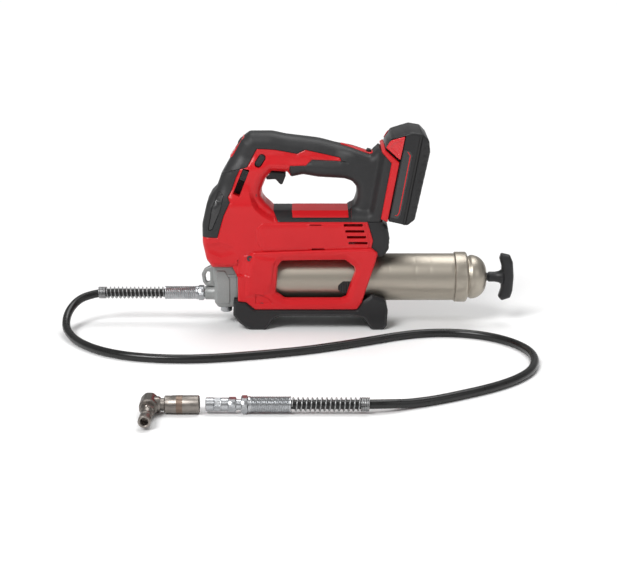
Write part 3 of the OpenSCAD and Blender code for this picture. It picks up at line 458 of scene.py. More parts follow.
@dataclass(frozen=True)
class Finish:
    """One procedural finish; every pattern runs on object coordinates."""

    name: str
    colour: tuple
    other: tuple
    roughness: float
    metallic: float = 0.0
    grain: Grain = Grain.MOULDED
    scale: float = 400.0
    bump: float = 0.1
    patch: float = 25.0
    spread: float = 0.08
    stretch: tuple = (1.0, 1.0, 1.0)
    coat: float = 0.0
    specular: float = 0.5
    transmission: float = 0.0
    glow: float = 0.0

    def material(self) -> bpy.types.Material:
        """The Blender material of this finish, made once and then shared.

        Returns:
            The material: a broad noise mixes the two colours and moves the roughness, and a fine
            noise or cell pattern makes the bump.
        """
        found = bpy.data.materials.get(self.name)
        if found:
            return found
        material = bpy.data.materials.new(self.name)
        material.use_nodes = True
        tree = material.node_tree
        shader = tree.nodes["Principled BSDF"]
        self._constants(shader)
        place = tree.nodes.new("ShaderNodeTexCoord").outputs["Object"]
        patches = self._noise(tree, place, self.patch, (1, 1, 1), 4.0)
        mix = tree.nodes.new("ShaderNodeMix")
        mix.data_type = "RGBA"
        mix.inputs[6].default_value, mix.inputs[7].default_value = (*self.colour, 1), (*self.other, 1)
        fine = self._noise(tree, place, self.scale, self.stretch, 3.0)
        share = self._math(tree, "ADD", patches, self._math(tree, "MULTIPLY", fine, 0.5))
        span = self._span(tree, share, 0.45, 1.05, 0.0, 1.0)
        tree.links.new(span, mix.inputs[0])
        tree.links.new(mix.outputs[2], shader.inputs["Base Color"])
        rough = self._span(tree, share, 0.4, 1.1, self.roughness - self.spread, self.roughness + self.spread)
        tree.links.new(rough, shader.inputs["Roughness"])
        bump = tree.nodes.new("ShaderNodeBump")
        bump.inputs["Strength"].default_value = self.bump
        bump.inputs["Distance"].default_value = 0.2 * MM
        tree.links.new(self._relief(tree, place, fine), bump.inputs["Height"])
        tree.links.new(bump.outputs["Normal"], shader.inputs["Normal"])
        return material

    def _constants(self, shader: bpy.types.Node) -> None:
        """Sets what is the same all over the surface on the shader's own sockets."""
        for socket, value in (("Metallic", self.metallic), ("Coat Weight", self.coat),
                              ("Coat Roughness", 0.12), ("Specular IOR Level", self.specular),
                              ("Transmission Weight", self.transmission)):
            shader.inputs[socket].default_value = value
        if self.glow:
            shader.inputs["Emission Color"].default_value = (*self.colour, 1)
            shader.inputs["Emission Strength"].default_value = self.glow

    def _relief(self, tree: bpy.types.NodeTree, place: bpy.types.NodeSocket,
                fine: bpy.types.NodeSocket) -> bpy.types.NodeSocket:
        """Height pattern of the grain."""
        if self.grain in (Grain.PEBBLED, Grain.CAST):
            cells = tree.nodes.new("ShaderNodeTexVoronoi")
            cells.inputs["Scale"].default_value = self.scale * 1.6
            tree.links.new(place, cells.inputs["Vector"])
            return self._math(tree, "ADD", cells.outputs["Distance"], fine)
        return fine

    @staticmethod
    def _noise(tree: bpy.types.NodeTree, place: bpy.types.NodeSocket, scale: float, stretch: tuple,
               detail: float) -> bpy.types.NodeSocket:
        """Noise over the place, drawn out by the stretch."""
        mapping = tree.nodes.new("ShaderNodeMapping")
        mapping.inputs["Scale"].default_value = stretch
        noise = tree.nodes.new("ShaderNodeTexNoise")
        noise.inputs["Scale"].default_value = scale
        noise.inputs["Detail"].default_value = detail
        tree.links.new(place, mapping.inputs["Vector"])
        tree.links.new(mapping.outputs["Vector"], noise.inputs["Vector"])
        return noise.outputs["Fac"]

    @staticmethod
    def _math(tree: bpy.types.NodeTree, operation: str, first: bpy.types.NodeSocket,
              second: object) -> bpy.types.NodeSocket:
        """One math node on a socket and a second socket or number."""
        node = tree.nodes.new("ShaderNodeMath")
        node.operation = operation
        tree.links.new(first, node.inputs[0])
        if isinstance(second, (int, float)):
            node.inputs[1].default_value = second
        else:
            tree.links.new(second, node.inputs[1])
        return node.outputs[0]

    @staticmethod
    def _span(tree: bpy.types.NodeTree, value: bpy.types.NodeSocket, low: float, high: float, first: float,
              last: float) -> bpy.types.NodeSocket:
        """Maps a value from low..high to first..last."""
        node = tree.nodes.new("ShaderNodeMapRange")
        for key, number in (("From Min", low), ("From Max", high), ("To Min", first), ("To Max", last)):
            node.inputs[key].default_value = number
        tree.links.new(value, node.inputs["Value"])
        return node.outputs["Result"]


RED = Finish("red_moulding", (0.60, 0.009, 0.014), (0.54, 0.008, 0.012), 0.34, scale=900, bump=0.05,
             coat=0.05, spread=0.05, specular=0.35)
RED_GLOSS = Finish("red_gloss", (0.66, 0.014, 0.02), (0.58, 0.012, 0.017), 0.24, scale=900, bump=0.03,
                   coat=0.3,
                   spread=0.04)
RUBBER = Finish("black_overmould", (0.024, 0.024, 0.025), (0.018, 0.018, 0.019), 0.5, grain=Grain.PEBBLED,
                scale=700, bump=0.18, specular=0.4)
BLACK = Finish("black_nylon", (0.020, 0.020, 0.021), (0.014, 0.014, 0.015), 0.4, scale=800, bump=0.12,
               specular=0.35)
GLOSS_BLACK = Finish("label_black", (0.014, 0.014, 0.016), (0.01, 0.01, 0.011), 0.22, scale=500, bump=0.03,
                     coat=0.4)
PAD = Finish("polished_pad", (0.03, 0.03, 0.031), (0.022, 0.022, 0.023), 0.27, scale=500, bump=0.04, coat=0.2)
HOSE_BLACK = Finish("hose_cover", (0.008, 0.008, 0.008), (0.012, 0.012, 0.012), 0.3, scale=160, bump=0.12,
                    coat=0.12, patch=40, specular=0.35)
CASTING = Finish("grey_casting", (0.31, 0.32, 0.315), (0.25, 0.26, 0.255), 0.46, metallic=0.3,
                 grain=Grain.CAST, scale=450, bump=0.35)
NICKEL = Finish("barrel_nickel", (0.36, 0.32, 0.265), (0.27, 0.24, 0.195), 0.5, metallic=1.0,
                grain=Grain.BRUSHED, scale=260, bump=0.10, stretch=(5.0, 0.35, 0.35), patch=16, spread=0.07)
ZINC = Finish("zinc_plate", (0.50, 0.51, 0.52), (0.36, 0.37, 0.385), 0.32, metallic=1.0, grain=Grain.POLISHED,
              scale=300, bump=0.05, patch=90)
SPRING_STEEL = Finish("spring_wire", (0.42, 0.42, 0.42), (0.28, 0.28, 0.285), 0.32, metallic=1.0,
                      grain=Grain.POLISHED, scale=500, bump=0.05)
DARK_STEEL = Finish("darkened_steel", (0.19, 0.175, 0.16), (0.30, 0.27, 0.245), 0.38, metallic=1.0,
                    grain=Grain.POLISHED, scale=260, bump=0.12, patch=70, spread=0.1)
BROWN_BAND = Finish("tempered_band", (0.16, 0.115, 0.09), (0.23, 0.17, 0.135), 0.42, metallic=0.9,
                    grain=Grain.BRUSHED, scale=240, bump=0.12, patch=60)
MACHINED = Finish("machined_steel", (0.5, 0.5, 0.51), (0.38, 0.38, 0.39), 0.3, metallic=1.0,
                  grain=Grain.BRUSHED, scale=350, bump=0.08, stretch=(3.0, 0.5, 0.5))
SCREW = Finish("blackened_screw", (0.05, 0.05, 0.052), (0.09, 0.09, 0.095), 0.35, metallic=0.9,
               grain=Grain.POLISHED, scale=600, bump=0.1)
BRASS = Finish("brass", (0.6, 0.42, 0.16), (0.5, 0.34, 0.12), 0.3, metallic=1.0, grain=Grain.POLISHED,
               scale=400, bump=0.06)
BOARD = Finish("circuit_board", (0.02, 0.12, 0.05), (0.01, 0.07, 0.03), 0.35, scale=300, bump=0.1, patch=200)
CELL = Finish("cell_sleeve", (0.03, 0.12, 0.35), (0.02, 0.08, 0.25), 0.3, scale=200, bump=0.05)
SEAL = Finish("seal_rubber", (0.02, 0.02, 0.02), (0.03, 0.03, 0.03), 0.6, grain=Grain.PEBBLED, scale=500)
LENS = Finish("lamp_glass", (0.9, 0.93, 0.95), (0.85, 0.88, 0.9), 0.08, scale=200, bump=0.02,
              transmission=0.7, spread=0.03)


def dress(piece: bpy.types.Object, finish: Finish, body: str = "",
          nodes: Sequence[str] = ()) -> bpy.types.Object:
    """Gives a piece its finish, the body it rides on and the CAD nodes it stands for."""
    piece.data.materials.clear()
    piece.data.materials.append(finish.material())
    if body:
        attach(piece, body)
    if nodes:
        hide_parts(*nodes)
    log.info("%s: %d faces in %s", piece.name, len(piece.data.polygons), finish.name)
    return piece


def cad_box(node: str) -> tuple:
    """Lowest and highest corner of a CAD node, in millimetres."""
    low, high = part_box(node)
    return np.array(low) / MM, np.array(high) / MM


# ---- Stage ----


@dataclass
class Studio:
    """Pale floor, soft lights and the camera."""

    target: tuple = (-60.9, 0.0, 38.2)
    elevation: float = 16.0
    distance: float = 1900.0
    lens: float = 89.24
    sensor: float = 36.0

    def build(self) -> None:
        """Makes the floor, the world, the lights and the camera."""
        self.floor()
        self.lights()
        self.camera()
        bpy.context.scene.view_settings.view_transform = "Standard"
        bpy.context.scene.view_settings.look = "None"

    def camera(self) -> None:
        """Camera that looks at the target along +Y, from above by the elevation."""
        tilt = math.radians(self.elevation)
        back = np.array([0.0, -math.cos(tilt), math.sin(tilt)])
        data = bpy.data.cameras.new("camera")
        data.lens, data.sensor_width = self.lens, self.sensor
        data.clip_start, data.clip_end = 0.1, 50.0
        camera = bpy.data.objects.new("camera", data)
        camera.location = Vector((np.array(self.target) + back * self.distance) * MM)
        camera.rotation_euler = (math.pi / 2 - tilt, 0.0, 0.0)
        bpy.context.scene.collection.objects.link(camera)
        bpy.context.scene.camera = camera

    def floor(self) -> None:
        """Large pale disc just below the feet."""
        floor = Form().turned([[-8, 0], [-8, 14000], [-0.05, 14000], [-0.05, 0]], (0, 0, 0), (0, 0, 1),
                              96).made("floor")
        paper = Finish("pale_paper", (0.90, 0.90, 0.90), (0.87, 0.87, 0.87), 0.75, scale=300, bump=0.02,
                       patch=2, specular=0.2)
        floor.data.materials.append(paper.material())

    def lights(self) -> None:
        """Soft white surroundings, distant soft lights that light the whole floor evenly, and two panels."""
        world = bpy.data.worlds.new("surroundings")
        bpy.context.scene.world = world
        world.use_nodes = True
        background = world.node_tree.nodes["Background"]
        background.inputs["Color"].default_value = (1.0, 1.0, 1.0, 1.0)
        background.inputs["Strength"].default_value = 0.30
        for name, toward, soft, power in (("key", (-0.55, -0.75, 1.0), 25, 2.0),
                                          ("top", (0.15, 0.35, 1.0), 40, 1.45),
                                          ("fill", (0.9, -0.8, 0.5), 40, 0.12)):
            data = bpy.data.lights.new(name, "SUN")
            data.energy, data.angle = power, math.radians(soft)
            self.lamp(name, data, Vector(toward) * 2.0, Vector((0, 0, 0)))
        for name, place, size, power in (("left_panel", (-0.9, -0.9, 0.9), 0.6, 2.0),
                                         ("right_panel", (0.9, -0.8, 0.7), 0.5, 0.8)):
            data = bpy.data.lights.new(name, "AREA")
            data.size, data.energy = size, power
            self.lamp(name, data, Vector(place), Vector((-0.05, 0, 0.1)))

    @staticmethod
    def lamp(name: str, data: bpy.types.Light, place: Vector, target: Vector) -> None:
        """Puts a light at a place, turned to its target."""
        light = bpy.data.objects.new(name, data)
        light.location = place
        light.rotation_euler = (target - place).to_track_quat("-Z", "Y").to_euler()
        bpy.context.scene.collection.objects.link(light)


# ---- Hose ----


@dataclass
class Hose:
    """High-pressure hose, lying in one loose loop in front of the gun."""

    radius: float = 5.0
    sides: int = 20
    steps: int = 8
    outlet: float = 37.5
    tip_y: float = -326.0
    tip_z: float = 9.8

    def route(self) -> Array:
        """Points that the hose passes through, from the pump to the coupler."""
        out, ty, tz = self.outlet, self.tip_y, self.tip_z
        return np.array([
            [-237, 0, out], [-275, 0, out], [-308, 0, out], [-326, -1.5, out - 1.5], [-342, -8, 32],
            [-352, -20, 25], [-356, -38, 17], [-353, -61, 10], [-341, -87, 6], [-323, -112, 5],
                         [-300, -134, 5],
            [-272, -150, 5], [-240, -159, 5], [-205, -162, 5], [-170, -159, 5], [-134, -151, 5],
                         [-98, -141, 5],
            [-62, -129, 5], [-26, -113, 5], [10, -95, 5], [46, -76, 5], [78, -65, 5], [110, -63, 5],
            [140, -70, 5], [166, -86, 5], [186, -110, 5], [197, -140, 5], [197, -172, 5], [187, -205, 5],
            [166, -235, 5], [138, -260, 5], [106, -281, 5], [74, -299, 5], [46, -312, 6], [24, -321, 8.5],
            [4, ty + 1, tz - 0.2], [-16, ty, tz], [-40, ty, tz], [-77, ty, tz], [-96, ty, tz]], float)

    def centreline(self) -> Array:
        """Catmull-Rom curve through the route: each span blends its four nearest points by a cubic."""
        p = self.route()
        a, b, c, d = np.vstack([p[:1], p[:-2]]), p[:-1], p[1:], np.vstack([p[2:], p[-1:]])
        t = (np.arange(self.steps) / self.steps)[None, :, None]
        a, b, c, d = (q[:, None] for q in (a, b, c, d))
        curve = 0.5 * (2 * b + (c - a) * t + (2 * a - 5 * b + 4 * c - d) * t ** 2
                       + (3 * b - a - 3 * c + d) * t ** 3)
        return np.vstack([curve.reshape(-1, 3), p[-1:]])

    def build(self, on_it: Sequence[bpy.types.Object]) -> bpy.types.Object:
        path = self.centreline()
        hose = Form().tube(path, self.radius, self.sides).made("hose_cover", 60.0)
        dress(hose, HOSE_BLACK, "root", ["hose"])
        return hose


@dataclass
class HoseEnds:
    """Fittings, open spring guards, lock nut and grease coupler on the hose."""

    wire: float = 0.85
    open_pitch: float = 5.0
    thread_pitch: float = 1.9

    def guard(self, name: str, node: str, closed_low: bool) -> bpy.types.Object:
        """Spring guard: a wire carried along a helix whose pitch opens from the closed end coils.

        Args:
            name: the piece's name.
            node: its CAD node.
            closed_low: True if the closed coils are at the low-X end.

        Returns:
            The spring.
        """
        low, high = cad_box(node)
        radius = (high[2] - low[2]) / 2 - self.wire
        span = high[0] - low[0] - 2 * self.wire
        closed, tight = 9.0, 2 * self.wire * 1.03
        turns_closed, turns_open = closed / tight, (span - closed) / self.open_pitch
        t = np.linspace(0, turns_closed + turns_open, int((turns_closed + turns_open) * 28))
        along = np.where(t < turns_closed, t * tight, closed + (t - turns_closed) * self.open_pitch)
        x = low[0] + self.wire + along if closed_low else high[0] - self.wire - along
        centre = (low + high) / 2
        path = np.stack([x, centre[1] + radius * np.cos(2 * np.pi * t),
                         centre[2] + radius * np.sin(2 * np.pi * t)], 1)
        return dress(Form().tube(path, self.wire, 10).made(name, 60.0), SPRING_STEEL, "root",
                     [node])

    def pump_end(self) -> bpy.types.Object:
        """Hexagon and threaded sleeve at the pump."""
        low, high = cad_box("pump_fitting")
        z = (low[2] + high[2]) / 2
        form = Form()
        form.turned(self.hex_profile(7.5, 17), (-197.5, 0, z), (1, 0, 0), 96, hexagonal(17, 0.0))
        form.turned(chamfered(4, 5.2), (-191, 0, z), (1, 0, 0), 48)
        x = np.linspace(0, 42, 190)
        shell = np.stack([x, np.full_like(x, 8.4)], 1)
        profile = np.vstack([[0, 5.15], [0, 7.4], shell[2:-2], [42, 7.6], [42, 5.15]])
        form.turned(profile, (-239, 0, z), (1, 0, 0), 64, threaded(self.thread_pitch * 1.3, 0.8, 0.4, 40),
                    closed=True)
        return dress(form.made("pump_hose_fitting"), ZINC, "root", ["pump_fitting"])

    def coupler_end(self, y: float, z: float) -> bpy.types.Object:
        """Threaded sleeve and lock nut in front of the coupler."""
        form = Form()
        x = np.linspace(0, 45, 230)
        profile = np.vstack([[0, 5.15], [0, 7.6], np.stack([x, np.full_like(x, 8.6)], 1)[2:-2], [45, 7.8],
                             [45, 5.15]])
        form.turned(profile, (-124, y, z), (1, 0, 0), 64, threaded(self.thread_pitch, 0.75, 1.5, 44.5),
                    closed=True)
        form.turned(self.hex_profile(7, 17), (-131, y, z), (1, 0, 0), 96, hexagonal(17, 0.0))
        form.turned(chamfered(6, 5.6, 0.4), (-136.5, y, z), (1, 0, 0), 48)
        return dress(form.made("coupler_hose_fitting"), ZINC, "root", ["coupler_fitting"])

    def coupler(self, y: float, z: float) -> bpy.types.Object:
        """Grease coupler: hexagon, grooved body with a knurled band, and an open mouth."""
        form = Form()
        form.turned(self.hex_profile(8.6, 14), (-144.6, y, z), (1, 0, 0), 96, hexagonal(14, 0.0))
        x = np.linspace(9.0, 16.0, 60)
        skin = np.vstack([[0, 6.5], [0.5, 7.3], [8.3, 7.3], [8.6, 6.8],
                          np.stack([x, np.full_like(x, 7.2)], 1),
                          [16.3, 6.8], [16.6, 7.1], [23.3, 7.1], [23.8, 6.6]])
        bore = np.array([[23.8, 3.0], [7.4, 3.0], [7.0, 3.35], [0.8, 3.4], [0, 4.2]])
        form.turned(np.vstack([skin, bore]), (-168, y, z), (1, 0, 0), 144, self.knurl, closed=True)
        return dress(form.made("grease_coupler"), ZINC, "root", ["coupler"])

    @staticmethod
    def knurl(along: Array, angle: Array, radius: Array) -> Array:
        """Crossed grooves on the band: the product of two slanted sine waves takes material away."""
        band = smoothstep(along, 9.0, 9.6) * (1 - smoothstep(along, 15.4, 16.0)) * (radius > 6)
        cut = np.abs(np.sin(18 * angle + 1.6 * along) * np.sin(18 * angle - 1.6 * along))
        return radius - 0.35 * cut * band

    @staticmethod
    def hex_profile(length: float, across: float) -> Array:
        """Profile of a nut: its corner radius, turned down by a chamfer at both ends."""
        corner, flat = across / math.sqrt(3), across / 2
        return np.array([[0, 0], [0, flat - 0.4], [0.9, corner], [length - 0.9, corner], [length, flat - 0.4],
                         [length, 0]])

    def build(self, hose: Hose) -> list:
        """Makes every piece on the hose."""
        return [self.pump_end(), self.guard("pump_hose_spring", "pump_spring_guard", True),
                self.coupler_end(hose.tip_y, hose.tip_z),
                self.guard("coupler_hose_spring", "coupler_spring_guard", False),
                self.coupler(hose.tip_y, hose.tip_z)]


@dataclass
class Adapter:
    """Right-angle adapter: socket with a tempered band, elbow block and screwed nozzle."""

    back: float = -211.0
    mouth: float = -174.5
    elbow: float = -227.0

    def build(self, y: float, z: float) -> list:
        """Makes the socket with its elbow, the band and the nozzle."""
        radius, bore, depth = 9.6, 7.4, 30.0
        length = self.mouth - self.back
        inside = length - depth
        profile = [[0, 0], [0, 8.4], [1.0, 9.3], [7.5, 9.3], [8.2, radius], [length - 1.2, radius],
                   [length, radius - 1.0], [length, bore + 0.6], [length - 0.6, bore], [inside, bore],
                   [inside, 3.2],
                   [length - 19, 3.2], [length - 18.5, 2.4], [length - 18.5, 0]]
        body = Form().turned(profile, (self.back, y, z), (1, 0, 0), 72)
        body.turned(chamfered(8, 6.6, 0.3), (-217, y, z), (1, 0, 0), 48)
        body.turned([[0, 0], [0, 8.2], [1.6, 9.7], [22.4, 9.7], [24, 8.4], [24, 0]],
                    (self.elbow, y + 10, z + 0.6),
                    (0, -1, 0), 96, self.octagon)
        body.turned([[0, 0], [0, 7.0], [2, 8.6], [10, 8.6], [12, 7.4], [12, 0]], (self.elbow, y, z),
                    (1, 0, 0), 96,
                    self.octagon)
        dress(body.made("adapter_socket"), DARK_STEEL, "adapter", ["adapter_body"])
        band = Form().turned(sleeve(6.5, radius + 0.06, radius - 0.5, 0.05), (-198.5, y, z), (1, 0, 0), 72,
                             closed=True)
        dress(band.made("adapter_band"), BROWN_BAND, "adapter")
        tip = Form()
        start = y - 13
        tip.turned(HoseEnds.hex_profile(9, 13.2), (self.elbow, start - 1.2, z), (0, -1, 0), 96,
                   hexagonal(13.2, 0))
        x = np.linspace(0, 11, 60)
        skin = np.stack([x, 5.7 + 0 * x], 1)
        tip.turned(np.vstack([[0, 0], skin, [11, 0]]), (self.elbow, start - 9.5, z), (0, -1, 0), 64,
                   threaded(2.4, 0.7, 0.2, 10.8))
        tip.turned([[0, 0], [0, 5.4], [0.8, 6.2], [4, 6.2], [5, 5.4], [7.5, 5.4], [8.5, 6.6], [18.2, 6.6],
                    [19, 5.9],
                    [19, 4.6], [18.4, 4.0], [8, 4.0], [8, 0]], (self.elbow, y - 33, z), (0, -1, 0), 72)
        dress(tip.made("adapter_tip"), DARK_STEEL, "adapter", ["adapter_nozzle"])
        return [bpy.data.objects[n] for n in ("adapter_socket", "adapter_band", "adapter_tip")]

    @staticmethod
    def octagon(along: Array, angle: Array, radius: Array) -> Array:
        """Radius of an octagon with rounded corners, inside the profile's radius."""
        return np.minimum(radius, 0.97 * radius / np.cos((angle + np.pi / 8) % (np.pi / 4) - np.pi / 8))


# ---- Casing ----

FORM = [(-178, 77, 3), (-147, 77, 0), (-147, 88.2, 0), (15, 88.2, 0), (22.5, 92.3, 2), (31, 91, 3),
        (36.7, 99.8, 4), (37.7, 112.3, 6), (35.1, 127.2, 4), (28, 135, 2), (25.4, 135.2, 0), (38, 207.6, 0),
        (23.5, 222.6, 2), (14, 213.4, 4), (-9, 221.2, 30), (-49.4, 231.8, 60), (-88, 236.5, 60),
        (-105, 240.2, 30),
        (-132, 240, 8), (-142.4, 231.7, 6), (-160.5, 199, 0), (-167, 187.4, 12), (-172.3, 172.5, 6),
        (-179, 165, 4), (-184, 155, 4), (-189.3, 132, 20), (-189.5, 108, 12), (-185, 87, 8)]
HAND_HOLE = [(-98, 146.5, 0), (-103.5, 146.5, 0), (-107.5, 150.5, 4), (-112.8, 155.4, 8), (-117.6, 162, 9),
             (-117.6, 172, 10), (-112.5, 185, 2), (-105.5, 194, 2), (-86.5, 193, 2), (-82, 187, 1.5),
             (-67.5, 190, 10), (-49, 186.8, 20), (-17, 185, 14), (-8.5, 182.2, 10), (-2.6, 175, 10),
             (-2.2, 163, 14),
             (-5.5, 152.5, 10), (-13, 147.6, 5), (-14, 146.5, 0)]
BUMPER = [(-200, 116.5, 0), (-171, 115.3, 1), (-163, 142.6, 2), (-155.4, 158.7, 1), (-157.7, 164.8, 1),
          (-152.8, 173.4, 1), (-147.8, 188, 1), (-143, 198, 0), (-200, 184, 0)]
GRIP = [(-200, 184, 0), (-143, 198, 0), (-134.5, 200.3, 1), (-129.9, 208.4, 1), (-122.6, 221.8, 1),
        (-101, 220.6, 3), (-74.7, 215.7, 2), (-65.1, 220.6, 2), (-23.1, 211.2, 1), (-22, 207.4, 0.5),
        (-9, 205, 0),
        (60, 207, 0), (60, 250, 0), (-200, 250, 0)]
TRIGGER_POCKET = [(-116.5, 180, 1), (-116.5, 201, 3), (-86, 201, 3), (-86, 180, 1)]
LOWER_GRIP = [(-84.3, 195, 1), (-82, 189, 0), (-79, 170, 0), (-9, 170, 0), (-9, 205, 0), (-22, 207.4, 0.5),
              (-56.7, 209, 2), (-63.9, 202.3, 2), (-83.1, 201.7, 1)]
RISER = [(-9.2, 135.4, 0), (60, 135.4, 0), (60, 207, 0), (-9, 205, 0), (-9, 182, 0), (-9.1, 160, 0)]
END_CAP = [(10, 135.4, 0), (17, 112, 3), (15, 101, 2), (23.5, 92.5, 0), (30, 80, 0), (60, 90, 0),
           (60, 135.4, 0)]
RAIL = [(-97.5, 135.4, 0), (-103.5, 146.6, 0), (-103.5, 160, 0), (-9.2, 160, 0), (-9.2, 135.4, 0)]
RAIL_INLAY = [(-80, 139.7, 0.6), (-12.5, 139.7, 0.6), (-13.5, 150, 0), (-81.5, 150, 0)]
SIDE_PANEL = [(-117, 98.5, 3), (12.5, 101.5, 2), (14, 112, 2), (8, 133.4, 2), (-104, 133.4, 3),
              (-117, 134, 4),
              (-124, 127, 4), (-124, 113, 4)]
FRONT_FACET = [(-144, 80, 1), (-127, 79, 1), (-126, 96, 2), (-140, 94, 3)]
NOSE_SCALLOP = [(-186, 108, 3), (-168, 111, 3), (-150, 104, 3), (-148, 96, 3), (-166, 90, 3), (-183, 97, 3)]
THROAT = [(-141, 204, 0), (-137.5, 186, 8), (-133.5, 168, 8), (-130, 156, 10), (-125, 148.6, 8),
          (-118.3, 143, 8),
          (-109.8, 137.9, 6), (-103, 134.6, 2), (-60, 134.6, 0), (-60, 204, 0)]
LOZENGE = [(-168.6, 172.8, 2), (-162.6, 166.6, 2), (-167.5, 147, 3), (-176.6, 125.8, 2), (-182.7, 123.3, 2),
           (-177.3, 153, 3)]
LOWER_FRAME = [(-147, 36.4, 1), (-137.1, 35.2, 2), (-126.2, 26, 2), (-1.7, 26, 2), (4.3, 35.2, 2),
               (20.7, 86.9, 3), (23, 96.9, 3), (15.7, 103, 2), (-128, 98, 4), (-143.8, 88, 4),
               (-153.2, 78.3, 1), (-147, 66.5, 1)]
WINDOW = [(-100.4, 47.9, 3), (-89.5, 40.3, 4), (-21.3, 40.3, 2), (-15.2, 42.8, 2), (-4.5, 74.3, 4),
          (-5.8, 79.4, 4), (-16.8, 88, 4), (-93, 86.9, 4), (-97.9, 80, 4)]

FRAME_BAND = [(-138.5, 41, 1), (-119, 43, 1), (-108.5, 47, 2), (-105, 62, 2), (-102.5, 80, 2), (-99, 91, 1),
              (-126, 94, 2),
              (-136, 86, 2), (-137, 66, 2)]
FRAME_TRAY = [(-126, 34, 0.5), (-103, 32.7, 0.5), (-109, 40.5, 2), (-118, 45.5, 2), (-126, 47, 0.5)]


def loop_of(outline: Outline) -> Array:
    """Rounded outline as a closed loop."""
    return rounded(outline)


def oval(centre: Sequence[float], half_length: float, radius: float, lean: float) -> Array:
    """Long hole with round ends, its length leaning from +Z by an angle in degrees."""
    angle = np.linspace(0, 2 * np.pi, 24, endpoint=False)
    x, y = radius * np.cos(angle), radius * np.sin(angle) + half_length * np.sign(np.sin(angle + 1e-6))
    c, s = math.cos(math.radians(lean)), math.sin(math.radians(lean))
    return np.stack([centre[0] + c * x + s * y, centre[1] - s * x + c * y], 1)


